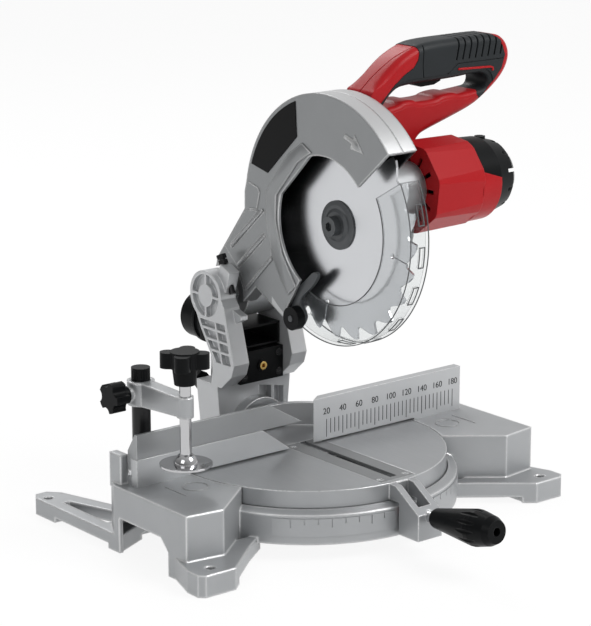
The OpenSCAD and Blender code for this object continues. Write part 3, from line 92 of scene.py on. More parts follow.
class Wire:
    """A socket's value, whose arithmetic adds Math nodes to its material."""

    def __init__(self, tree: Tree, socket: bpy.types.NodeSocket) -> None:
        """Keeps the node tree and the socket."""
        self.tree = tree
        self.socket = socket

    def maths(self, operation: str, left: Value, right: Value = 0.0) -> "Wire":
        """Adds one Math node.

        Args:
            operation: the node's operation.
            left: its first value.
            right: its second value.

        Returns:
            The node's result.
        """
        node = self.tree.nodes.new("ShaderNodeMath")
        node.operation = operation
        for socket, value in zip(node.inputs, (left, right)):
            plug(self.tree, value, socket)
        return Wire(self.tree, node.outputs[0])

    def __add__(self, other: Value) -> "Wire":
        """Sum."""
        return self.maths("ADD", self, other)

    def __radd__(self, other: Value) -> "Wire":
        """Sum with a plain number first."""
        return self.maths("ADD", other, self)

    def __sub__(self, other: Value) -> "Wire":
        """Difference."""
        return self.maths("SUBTRACT", self, other)

    def __rsub__(self, other: Value) -> "Wire":
        """Difference from a plain number."""
        return self.maths("SUBTRACT", other, self)

    def __mul__(self, other: Value) -> "Wire":
        """Product."""
        return self.maths("MULTIPLY", self, other)

    def __rmul__(self, other: Value) -> "Wire":
        """Product with a plain number first."""
        return self.maths("MULTIPLY", other, self)

    def __pow__(self, other: Value) -> "Wire":
        """Power."""
        return self.maths("POWER", self, other)

    def limited(self) -> "Wire":
        """The value kept between 0 and 1."""
        return self.maths("MINIMUM", self.maths("MAXIMUM", self, 0.0), 1.0)

    def above(self, limit: float) -> "Wire":
        """1 where the value is over a limit, else 0."""
        return self.maths("GREATER_THAN", self, limit)


def plug(tree: Tree, value: object, socket: bpy.types.NodeSocket) -> None:
    """Links a wire to a socket, or sets the socket to a plain value.

    Args:
        tree: the node tree of both.
        value: a wire, a number, or a colour or vector.
        socket: the socket that takes it.
    """
    if isinstance(value, Wire):
        tree.links.new(value.socket, socket)
    elif isinstance(value, tuple) and socket.type == "RGBA":
        socket.default_value = (*value, 1.0)
    else:
        socket.default_value = value


def show(tree: Tree, share: Wire, first: Node, second: Node, output: Node) -> None:
    """Shows two shaders as one.

    Args:
        tree: their node tree.
        share: how much of the second is seen.
        first: the first shader.
        second: the second shader.
        output: the tree's output.
    """
    node = tree.nodes.new("ShaderNodeMixShader")
    plug(tree, share, node.inputs["Fac"])
    tree.links.new(first.outputs[0], node.inputs[1])
    tree.links.new(second.outputs[0], node.inputs[2])
    tree.links.new(node.outputs[0], output.inputs["Surface"])


class Surface:
    """A material in the making, with one Principled shader."""

    def __init__(self, name: str) -> None:
        """Starts an empty material of that name."""
        self.material = bpy.data.materials.new(name)
        self.material.use_nodes = True
        self.tree = self.material.node_tree
        self.tree.nodes.clear()
        self.output = self.tree.nodes.new("ShaderNodeOutputMaterial")
        self.shader = self.tree.nodes.new("ShaderNodeBsdfPrincipled")
        self.tree.links.new(self.shader.outputs[0], self.output.inputs["Surface"])

    def node(self, kind: str, settings: dict[str, object] | None = None, **sockets: object) -> Node:
        """Adds any node.

        Args:
            kind: the node's type.
            settings: its properties, or stops for the stops of a colour ramp.
            **sockets: values or wires by socket name, with _ for a space.

        Returns:
            The node.
        """
        node = self.tree.nodes.new(kind)
        for key, value in (settings or {}).items():
            if key == "stops":
                self._set_stops(node, value)
            else:
                setattr(node, key, value)
        for key, value in sockets.items():
            plug(self.tree, value, node.inputs[key.replace("_", " ")])
        return node

    @staticmethod
    def _set_stops(node: Node, stops: Sequence[tuple[float, float]]) -> None:
        """Sets a ramp to grey stops, each a place and a level."""
        elements = node.color_ramp.elements
        while len(elements) < len(stops):
            elements.new(0.5)
        for element, (place, level) in zip(elements, stops):
            element.position = place
            element.color = (level, level, level, 1.0)

    def wire(self, node: Node, name: str) -> Wire:
        """A node's output by name."""
        return Wire(self.tree, node.outputs[name])

    def mix(self, factor: Value, low: object, high: object) -> Wire:
        """Mixes two colours.

        Args:
            factor: how much of the second.
            low: the first colour or wire.
            high: the second colour or wire.

        Returns:
            The mixed colour.
        """
        node = self.tree.nodes.new("ShaderNodeMix")
        node.data_type = "RGBA"
        for index, value in ((0, factor), (6, low), (7, high)):
            plug(self.tree, value, node.inputs[index])
        return Wire(self.tree, node.outputs[2])

    def place(self, stretch: Sequence[float] = (1.0, 1.0, 1.0)) -> Wire:
        """Object coordinates, stretched along the axes."""
        source = self.wire(self.node("ShaderNodeTexCoord"), "Object")
        mapping = self.node("ShaderNodeMapping", None, Vector=source, Scale=tuple(stretch))
        return self.wire(mapping, "Vector")

    def noise(self, scale: float, detail: float = 3.0, stretch: Sequence[float] = (1.0, 1.0, 1.0)) -> Wire:
        """Noise over the piece.

        Args:
            scale: patches in a metre.
            detail: octaves.
            stretch: stretch along the axes.

        Returns:
            The noise, between 0 and 1.
        """
        place = self.place(stretch)
        node = self.node("ShaderNodeTexNoise", None, Vector=place, Scale=scale, Detail=detail)
        return self.wire(node, "Fac")

    def rounded(self, radius: float, samples: int = 6) -> Wire:
        """Normal that rounds each edge by a radius in metres."""
        return self.wire(self.node("ShaderNodeBevel", {"samples": samples}, Radius=radius), "Normal")

    def edges(self, rounded: Wire, gain: float = 6.0) -> Wire:
        """Mask of the edges that a rounded normal softens, made stronger by a gain."""
        flat = self.wire(self.node("ShaderNodeNewGeometry"), "Normal")
        node = self.tree.nodes.new("ShaderNodeVectorMath")
        node.operation = "DOT_PRODUCT"
        plug(self.tree, rounded, node.inputs[0])
        plug(self.tree, flat, node.inputs[1])
        return ((1.0 - Wire(self.tree, node.outputs["Value"])) * gain).limited()

    def bump(self, height: Wire, depth: float, normal: Wire | None = None) -> Wire:
        """Bumps the normal by a height of that depth in metres."""
        node = self.node("ShaderNodeBump", None, Height=height, Strength=1.0, Distance=depth)
        if normal is not None:
            plug(self.tree, normal, node.inputs["Normal"])
        return self.wire(node, "Normal")

    def finish(self, **sockets: object) -> bpy.types.Material:
        """Sets the shader's sockets and gives the material.

        Args:
            **sockets: values or wires by socket name, with _ for a space.

        Returns:
            The material.
        """
        for key, value in sockets.items():
            plug(self.tree, value, self.shader.inputs[key.replace("_", " ")])
        return self.material


# Finishes


@dataclass(frozen=True)
class Finish:
    """A finish with a grain, patches of tone, softened edges and a painted highlight along them.

    Fields in metres or shares: slot is the record's slot, edge the radius of the softened edges,
    bright the tone of the painted highlight along the edges, wear its least share,
    mottle the tone of the patches, grain the grains in a metre, depth their height, swing what they
    add to the roughness and gloss what the highlighted edges take off it.
    """

    name: str
    slot: str
    colour: Colour
    roughness: float
    metallic: float = 0.0
    coat: float = 0.0
    specular: float = 0.5
    edge: float = 0.8 * MM
    bright: float = 0.0
    mottle: float = 0.08
    grain: float = 900.0
    depth: float = 0.02 * MM
    stretch: Spot = (1.0, 1.0, 1.0)
    patches: float = 38.0
    wear: float = 0.6
    swing: float = 0.16
    gloss: float = 0.08

    def tones(self, surface: Surface, edges: Wire) -> Wire:
        """Base colour with patches and a painted highlight along the edges.

        Args:
            surface: the material.
            edges: mask of the edges.

        Returns:
            The colour.
        """
        dark = tuple(c * (1.0 - self.mottle) for c in self.colour)
        light = tuple(min(1.0, c * (1.0 + self.mottle)) for c in self.colour)
        patches = surface.noise(self.patches, detail=4.0)
        base = surface.mix(patches, dark, light)
        # Painted highlight along the edges, strongest where the patches are light
        lit_edge = tuple(c + (1.0 - c) * self.bright for c in self.colour)
        return surface.mix(edges * (self.wear + (1.0 - self.wear) * patches), base, lit_edge)

    def make(self) -> bpy.types.Material:
        """Builds the finish's material."""
        surface = Surface(self.name)
        rounded = surface.rounded(self.edge)
        edges = surface.edges(rounded)
        grain = surface.noise(self.grain, detail=2.0, stretch=self.stretch)
        rough = self.roughness + (grain - 0.5) * self.swing - edges * (self.gloss if self.bright else 0.0)
        return surface.finish(
            Base_Color=self.tones(surface, edges),
            Roughness=rough.limited(),
            Metallic=self.metallic,
            Coat_Weight=self.coat,
            Specular_IOR_Level=self.specular,
            Normal=surface.bump(grain, self.depth, rounded),
        )


@dataclass(frozen=True)
class LinedFinish(Finish):
    """Cast alloy with painted shade on the inside, round the blade, and a painted highlight on its rim.

    Fields in metres: inner is the radius of the painted shade inside, sides its left and right ends, centre
    its middle, away from the operator and up. The painted highlight on the rim is past the radius outer
    and ends at rear, behind the middle.
    """

    inner: float = 110.9 * MM
    sides: Point = (-12.1 * MM, 17.8 * MM)
    centre: Point = (-57.0 * MM, 288.4 * MM)
    # Colour of the painted shade inside the guard, round the blade
    lining: Colour = (0.018, 0.019, 0.02)
    outer: float = 113.5 * MM
    rear: float = 75.0 * MM
    # Colour of the painted highlight on the rim
    polished: Colour = (0.52, 0.525, 0.53)

    def tones(self, surface: Surface, edges: Wire) -> Wire:
        """Base colour with painted shade on the inside and a painted highlight on the rim.

        Args:
            surface: the material.
            edges: mask of the edges.

        Returns:
            The colour.
        """
        spot = surface.node("ShaderNodeSeparateXYZ", None, Vector=surface.place())
        across = surface.wire(spot, "X")
        back = surface.wire(spot, "Y") - self.centre[0]
        up = surface.wire(spot, "Z") - self.centre[1]
        reach = back * back + up * up
        # Mask of the painted shade: inside the radius, between the sides
        outside = reach.above(self.inner**2)
        inside = (1.0 - outside) * across.above(self.sides[0]) * (1.0 - across.above(self.sides[1]))
        # Mask of the painted highlight: the rim past the outer radius, in front of rear
        rim = reach.above(self.outer**2) * (1.0 - back.above(self.rear))
        # Painted highlight on the rim
        outer = surface.mix(rim, super().tones(surface, edges), self.polished)
        # Painted shade inside the guard
        return surface.mix(inside, outer, self.lining)


@dataclass(frozen=True)
class ClearFinish(Finish):
    """Clear plastic that lets the blade show and glints, with a painted glint in patches and painted shade
    along its edges.

    Shares of the gloss: veil is what shows everywhere, slant what is added at a slant, and outline
    what is added along the edges.
    """

    veil: float = 0.02
    slant: float = 0.5
    outline: float = 0.75
    ripple_gloss: float = 0.04
    tint: Colour = (0.97, 0.975, 0.975)
    # Colour of the painted shade along the edges
    rim: Colour = (0.02, 0.022, 0.024)
    # Colour of the painted glint in patches
    glint: Colour = (0.55, 0.57, 0.58)

    def make(self) -> bpy.types.Material:
        """Builds the clear material."""
        surface = Surface(self.name)
        ripple = surface.noise(self.grain, detail=2.0)
        rounded = surface.rounded(self.edge)
        edges = surface.edges(rounded)
        normal = surface.bump(ripple, self.depth, rounded)
        # Painted glint: lighter patches over the clear colour
        clear = surface.mix(ripple, self.colour, self.glint)
        gloss = surface.finish(
            # Painted shade along the edges
            Base_Color=surface.mix(edges, clear, self.rim),
            Roughness=(self.roughness + ripple * self.ripple_gloss).limited(),
            Specular_IOR_Level=self.specular,
            Normal=normal,
        )
        through = surface.node("ShaderNodeBsdfTransparent", None, Color=self.tint)
        weight = surface.node("ShaderNodeLayerWeight", None, Blend=0.25, Normal=normal)
        slant = surface.wire(weight, "Facing") ** 2.0
        share = (slant * self.slant + self.veil + edges * self.outline).limited()
        show(surface.tree, share, through, surface.shader, surface.output)
        return gloss


class Finishes:
    """The saw's finishes, each made once."""

    CAST = Finish(
        "cast_alloy", "cast_alloy", (0.38, 0.39, 0.40), 0.40, metallic=0.55, edge=3.6 * MM, bright=0.95,
        mottle=0.06, grain=1400.0, depth=0.03 * MM)
    # Painted shade and highlight: darker than the base casting for the shade on the guard's left face, with
    # painted shade inside round the blade and a painted highlight on the rim
    GUARD = LinedFinish(
        "guard_alloy_painted_shade_and_highlight", "cast_alloy", (0.27, 0.278, 0.284), 0.36, metallic=0.6, edge=2.8 * MM, bright=0.9,
        mottle=0.05, grain=1500.0, depth=0.025 * MM)
    MACHINED = Finish(
        "machined_alloy", "cast_alloy", (0.36, 0.37, 0.38), 0.36, metallic=0.6, edge=1.8 * MM, bright=0.9,
        mottle=0.05, grain=700.0, depth=0.01 * MM, stretch=(1.0, 0.06, 1.0))
    FENCE = Finish(
        "planed_alloy", "cast_alloy", (0.50, 0.51, 0.52), 0.36, metallic=0.5, edge=0.8 * MM, bright=0.6,
        mottle=0.05, grain=900.0, depth=0.012 * MM, stretch=(0.05, 1.0, 1.0))
    RING = replace(CAST, name="ring_alloy", edge=0.3 * MM, bright=0.0)
    # Painted shade: a darker copy of the planed alloy for the left, sliding fence, which is in shade
    SHADED = replace(FENCE, name="planed_alloy_painted_shade", colour=(0.33, 0.338, 0.345), roughness=0.40)
    # Painted light: a lighter copy of the cast alloy for the tilt arm, which is in shade
    YOKE = replace(
        CAST, name="arm_alloy_painted_light", colour=(0.54, 0.55, 0.56), metallic=0.5, edge=1.6 * MM, bright=0.6)
    INSERT = Finish(
        "insert_plate", "dark_alloy", (0.19, 0.196, 0.20), 0.42, metallic=0.2, edge=0.6 * MM, bright=0.3,
        mottle=0.08, grain=1200.0)
    DARK = Finish(
        "dark_alloy", "dark_alloy", (0.07, 0.075, 0.08), 0.4, metallic=0.3, edge=0.6 * MM, bright=0.2,
        mottle=0.12, grain=1100.0)
    STEEL = Finish(
        "turned_steel", "steel", (0.60, 0.61, 0.62), 0.28, metallic=1.0, edge=0.4 * MM, bright=0.3,
        grain=1500.0, depth=0.006 * MM)
    BLADE = Finish(
        "blade_steel", "steel", (0.62, 0.63, 0.65), 0.24, metallic=1.0, edge=0.2 * MM, bright=0.3,
        mottle=0.03, grain=1100.0, depth=0.001 * MM)
    SCALE = Finish(
        "scale_strip", "scale_plate", (0.62, 0.62, 0.62), 0.35, metallic=0.5, edge=0.2 * MM, mottle=0.04)
    CHROME = Finish(
        "chrome", "chrome", (0.52, 0.52, 0.53), 0.09, metallic=1.0, edge=0.5 * MM, mottle=0.02,
        grain=300.0, depth=0.002 * MM)
    BRASS = Finish("turned_brass", "brass", (0.66, 0.44, 0.14), 0.24, metallic=1.0, edge=0.3 * MM, bright=0.2)
    RED = Finish(
        "red_shell", "red_plastic", (0.36, 0.012, 0.015), 0.30, coat=0.02, specular=0.1, edge=1.2 * MM,
        mottle=0.05, grain=1800.0, depth=0.012 * MM)
    BLACK = Finish(
        "black_moulding", "black_plastic", (0.005, 0.0055, 0.006), 0.34, specular=0.08, edge=0.9 * MM,
        bright=0.02, mottle=0.1, grain=1700.0, depth=0.025 * MM)
    PLATE = Finish(
        "plate_black", "black_plastic", (0.003, 0.003, 0.0035), 0.40, specular=0.1, edge=0.2 * MM,
        mottle=0.1, grain=2400.0, depth=0.004 * MM)
    BLUED = Finish(
        "black_oxide", "black_steel", (0.014, 0.014, 0.015), 0.3, metallic=0.5, edge=0.5 * MM, bright=0.1,
        mottle=0.1)
    RUBBER = Finish(
        "soft_grip", "black_rubber", (0.016, 0.019, 0.021), 0.46, specular=0.18, edge=0.8 * MM,
        mottle=0.1, grain=2600.0, depth=0.03 * MM)
    CLEAR = ClearFinish(
        "clear_guard", "clear_plastic", (0.10, 0.11, 0.115), 0.05, specular=1.0, edge=0.9 * MM,
        grain=60.0, depth=0.05 * MM)

    def __init__(self) -> None:
        """Starts with no material made."""
        self.made: dict[str, bpy.types.Material] = {}

    def get(self, finish: Finish) -> bpy.types.Material:
        """A finish's material, made on its first use."""
        if finish.name not in self.made:
            self.made[finish.name] = finish.make()
        return self.made[finish.name]

    def dress(self, finish: Finish, *nodes: str) -> None:
        """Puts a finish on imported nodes.

        Args:
            finish: the finish.
            *nodes: their names.
        """
        for name in nodes:
            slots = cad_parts[name].data.materials
            slots.clear()
            slots.append(self.get(finish))
            LOG.info("finish %s on %s", finish.name, name)


# Modelling


class Workshop:
    """Mesh work with Blender's own operators."""

    @staticmethod
    def pick(*pieces: Piece) -> None:
        """Selects only these pieces, the first of them active."""
        bpy.ops.object.select_all(action="DESELECT")
        for piece in pieces:
            piece.select_set(True)
        bpy.context.view_layer.objects.active = pieces[0]

    @staticmethod
    def turn_out() -> None:
        """Turns the faces of the piece in edit mode outwards, and leaves that mode."""
        bpy.ops.mesh.select_all(action="SELECT")
        bpy.ops.mesh.normals_make_consistent(inside=False)
        bpy.ops.object.mode_set(mode="OBJECT")

    @classmethod
    def prism(cls, name: str, outline: Outline, low: float, high: float, axis: Axis = Axis.X) -> Piece:
        """Draws an outline and extrudes it.

        Args:
            name: the piece's name.
            outline: its corners across the axis.
            low: where it starts along the axis.
            high: where it ends.
            axis: the axis.

        Returns:
            The closed piece.
        """
        bpy.ops.object.select_all(action="DESELECT")
        bpy.ops.mesh.primitive_circle_add(vertices=len(outline), radius=0.01, fill_type="NGON")
        piece = bpy.context.active_object
        piece.name = name
        piece.data.name = name
        for vertex, point in zip(piece.data.vertices, outline):
            vertex.co = axis.place(low, *point)
        bpy.ops.object.mode_set(mode="EDIT")
        bpy.ops.mesh.select_all(action="SELECT")
        bpy.ops.mesh.extrude_region_move(TRANSFORM_OT_translate={"value": axis.place(high - low, 0.0, 0.0)})
        cls.turn_out()
        piece.location = (0.0, 0.0, 0.0)
        return piece

    @classmethod
    def stack(cls, name: str, rings: Sequence[tuple[float, Outline]]) -> Piece:
        """Skins a solid over outlines that follow each other from the operator to the back.

        Args:
            name: the piece's name.
            rings: a place along the axis and an outline for each, all with as many corners.

        Returns:
            The closed piece.
        """
        piece = cls.prism(name, rings[0][1], rings[0][0], rings[0][0] + 1.0, Axis.Y)
        sides = len(rings[0][1])
        spots = [Axis.Y.place(along, *point) for along, outline in rings for point in outline]
        faces: list[tuple[int, ...]] = [tuple(range(sides)), tuple(range(len(spots) - sides, len(spots)))]
        for ring in range(len(rings) - 1):
            for side in range(sides):
                here, after = ring * sides + side, ring * sides + (side + 1) % sides
                faces.append((here, after, after + sides, here + sides))
        piece.data.clear_geometry()
        piece.data.from_pydata(spots, [], faces)
        cls.pick(piece)
        bpy.ops.object.mode_set(mode="EDIT")
        cls.turn_out()
        return piece

    @classmethod
    def soften(cls, piece: Piece, width: float, segments: int = 2, angle: float = 40.0) -> None:
        """Bevels the edges sharper than an angle.

        Args:
            piece: the piece.
            width: the bevel's width in millimetres.
            segments: its steps.
            angle: the angle in degrees.
        """
        cls.pick(piece)
        bevel = piece.modifiers.new("soften", "BEVEL")
        bevel.width = width * MM
        bevel.segments = segments
        bevel.limit_method = "ANGLE"
        bevel.angle_limit = math.radians(angle)
        bpy.ops.object.modifier_apply(modifier=bevel.name)

    @classmethod
    def combine(cls, piece: Piece, tool: Piece, blend: Blend) -> None:
        """Cuts, keeps or joins a piece with a tool, and removes the tool.

        Args:
            piece: the piece.
            tool: the other solid.
            blend: what is done.
        """
        cls.pick(piece)
        boolean = piece.modifiers.new("combine", "BOOLEAN")
        boolean.operation = blend.value
        boolean.solver = "EXACT"
        boolean.object = tool
        bpy.ops.object.modifier_apply(modifier=boolean.name)
        bpy.data.objects.remove(tool)

    @classmethod
    def join(cls, pieces: Sequence[Piece], name: str) -> Piece:
        """Joins pieces into one."""
        cls.pick(*pieces)
        bpy.ops.object.join()
        whole = bpy.context.active_object
        whole.name = name
        whole.data.name = name
        return whole

    @classmethod
    def repeat(cls, piece: Piece, count: int, step: float) -> None:
        """Repeats a piece to the right, a number of times at a step in millimetres."""
        cls.pick(piece)
        array = piece.modifiers.new("repeat", "ARRAY")
        array.count = count
        array.use_relative_offset = False
        array.use_constant_offset = True
        array.constant_offset_displace = (step * MM, 0.0, 0.0)
        bpy.ops.object.modifier_apply(modifier=array.name)

    @classmethod
    def smooth(cls, piece: Piece, angle: float = 35.0) -> None:
        """Shades faces smooth across edges flatter than an angle in degrees."""
        cls.pick(piece)
        bpy.ops.object.shade_smooth_by_angle(angle=math.radians(angle))

    @classmethod
    def settle(cls, piece: Piece, finishes: Finishes, finish: Finish, body: str,
               stands_for: Iterable[str] = ()) -> Piece:
        """Dresses a finished piece and lets it ride on a body.

        Args:
            piece: the piece.
            finishes: the saw's finishes.
            finish: the piece's finish.
            body: the body that it moves with.
            stands_for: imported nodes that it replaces.

        Returns:
            The piece.
        """
        piece.data.materials.clear()
        piece.data.materials.append(finishes.get(finish))
        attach(piece, body)
        nodes = tuple(stands_for)
        if nodes:
            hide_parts(*nodes)
        LOG.info("piece %s with %d faces on %s", piece.name, len(piece.data.polygons), body)
        return piece


def rounded_outline(corners: Outline, rounds: int = 2) -> list[Point]:
    """Rounds an outline by cutting its corners.

    Args:
        corners: the outline's corners.
        rounds: how often each corner is cut.

    Returns:
        The rounded outline.
    """
    points = list(corners)
    for _ in range(rounds):
        cut: list[Point] = []
        for here, after in zip(points, points[1:] + points[:1]):
            for share in (0.25, 0.75):
                cut.append((here[0] + share * (after[0] - here[0]), here[1] + share * (after[1] - here[1])))
        points = cut
    return points


def circle_outline(radius: float, first: float = 0.0, second: float = 0.0, sides: int = 64) -> list[Point]:
    """Corners round a circle.

    Args:
        radius: its radius.
        first: its centre across the axis.
        second: its centre the other way.
        sides: how many corners.

    Returns:
        The outline.
    """
    turns = [2.0 * math.pi * side / sides for side in range(sides)]
    return [(first + radius * math.cos(turn), second + radius * math.sin(turn)) for turn in turns]


def band(points: Outline, width: float) -> list[Point]:
    """Outline of a band along a line.

    Args:
        points: the line's corners.
        width: the band's width.

    Returns:
        The outline, up one side and back on the other.
    """
    left: list[Point] = []
    right: list[Point] = []
    for index, (a, b) in enumerate(points):
        before = points[max(index - 1, 0)]
        after = points[min(index + 1, len(points) - 1)]
        along = Vector((after[0] - before[0], after[1] - before[1])).normalized() * (width / 2.0)
        left.append((a - along.y, b + along.x))
        right.append((a + along.y, b - along.x))
    return left + right[::-1]


def inset(points: Outline, depths: Sequence[float]) -> list[Point]:
    """An outline that runs clockwise, drawn in by a depth at each corner.

    Args:
        points: the outline.
        depths: how far each corner is drawn in, or out where it is below 0.

    Returns:
        The drawn-in outline.
    """
    inner: list[Point] = []
    rows = zip(points[-1:] + points[:-1], points, points[1:] + points[:1], depths)
    for before, here, after, depth in rows:
        along = Vector((after[0] - before[0], after[1] - before[1])).normalized()
        inner.append((here[0] + along.y * depth, here[1] - along.x * depth))
    return inner


def faded(place: float, start: float, length: float) -> float:
    """Grows from 0 at a start to 1 over a length."""
    return min(1.0, max(0.0, (place - start) / length))


def shifted(points: Outline, first: float, second: float) -> list[Point]:
    """An outline moved across its axis."""
    return [(a + first, b + second) for a, b in points]


# The saw

# The blade's centre with the head up
HUB: Spot = (4.0, -57.0, 281.0)

# Outlines of the handle, as places from the blade's centre: to the right, then up
HANDLE = (
    (15.0, 112.0), (15.0, 120.4), (21.0, 125.4), (45.7, 146.0), (61.0, 154.0), (76.0, 159.4),
    (95.0, 161.0), (130.0, 161.3), (168.0, 161.4), (177.0, 159.0), (185.0, 151.0), (188.0, 139.5),
    (183.5, 127.0), (173.0, 115.5), (155.0, 103.5), (140.0, 95.5), (110.5, 86.7), (82.0, 78.5),
    (75.0, 75.5), (70.0, 70.0), (62.0, 48.0), (60.0, 46.0), (20.0, 46.0), (15.0, 48.0),
)
OPENING = (
    (30.0, 107.0), (46.0, 122.0), (61.0, 124.0), (90.0, 124.5), (119.6, 125.0), (139.5, 126.5),
    (153.0, 126.5), (159.5, 120.0), (157.0, 112.0), (146.0, 111.0), (132.0, 110.0), (123.0, 109.4),
    (118.0, 111.6), (101.0, 110.4), (96.0, 107.6), (73.0, 107.3), (68.0, 110.0), (55.0, 109.6),
    (50.0, 106.6), (34.0, 105.0),
)
GRIP = (
    (70.4, 180.0), (164.5, 180.0), (165.0, 161.0), (173.0, 155.5), (178.5, 141.0), (174.0, 128.6),
    (156.5, 110.0), (147.5, 103.2), (144.0, 107.4), (149.0, 117.0), (60.0, 118.0), (33.0, 106.6),
    (28.0, 108.4), (26.4, 110.5), (43.0, 125.6), (55.0, 134.0), (66.0, 139.4), (71.0, 146.0),
    (72.6, 153.0), (71.6, 160.0),
)
TRIGGER_POCKET = ((73.4, 117.0), (73.4, 147.0), (113.0, 147.5), (113.0, 117.0))
PANEL_LINE = ((97.0, 126.0), (103.5, 129.2), (109.6, 131.0), (119.4, 138.1), (176.0, 138.0))
COLLAR_LINE = ((78.5, 158.0), (77.0, 150.0), (76.5, 140.0), (78.0, 122.0))
ACCENT = ((119.5, 133.1), (140.0, 132.3), (159.5, 131.6), (162.8, 130.4), (162.4, 127.6))

# Line over the handle's neck, as places from the blade's centre: to the right, then away
NECK_LINE = ((5.0, -7.0), (30.0, -8.0), (90.0, -22.0))

# Marks on the left face of the guard, as places from the blade's centre: away from the operator, then up
WINDOW_LIP = (
    (16.5, 66.0), (36.1, 53.6), (67.0, 18.4), (67.6, -4.8), (57.8, -35.5), (38.0, -62.0), (50.0, -72.0),
    (60.0, -60.0), (72.0, -41.0), (82.0, -8.0), (82.6, 20.5), (50.0, 60.0), (30.0, 73.5),
)
ARM_RIBS = (
    ((88.0, 2.0), (136.0, -41.0)), ((85.0, -22.0), (126.0, -58.5)), ((74.5, -42.0), (114.5, -80.5)),
)
ARM_COVER = (
    (76.0, 2.0), (96.7, 0.2), (115.1, -2.0), (147.3, -42.8), (139.0, -50.0), (131.0, -57.0),
    (121.0, -67.0), (115.0, -80.5), (74.5, -41.5), (76.0, -10.0),
)
SIDE_PANEL = ((108.6, 24.8), (95.0, 21.3), (92.6, 17.9), (96.7, 1.2), (108.0, 0.0))
TURN_ARROW = (
    (-28.0, 86.0), (-30.0, 90.0), (-41.0, 86.5), (-43.0, 91.0), (-55.0, 75.0), (-37.0, 77.5), (-39.0, 82.0),
)
CLAW = (
    (33.0, -96.0), (30.5, -88.0), (40.0, -76.9), (33.7, -69.2), (22.9, -61.0), (14.2, -50.9), (13.5, -45.6),
    (19.3, -45.0), (27.2, -52.0), (39.6, -63.0), (52.0, -73.2), (55.0, -81.9), (49.5, -92.0), (44.0, -99.0),
)

Coats = dict[Finish, tuple[str, ...]]


@dataclass
class Group:
    """A sub-assembly of the saw, with its sizes in millimetres.

    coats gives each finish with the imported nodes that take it.
    """

    coats: ClassVar[Coats] = {}

    finishes: Finishes

    def model(self) -> None:
        """Models the group's own pieces, where it has some."""

    def build(self) -> None:
        """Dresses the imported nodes, then models the group's own pieces."""
        for finish, nodes in self.coats.items():
            self.finishes.dress(finish, *nodes)
        self.model()


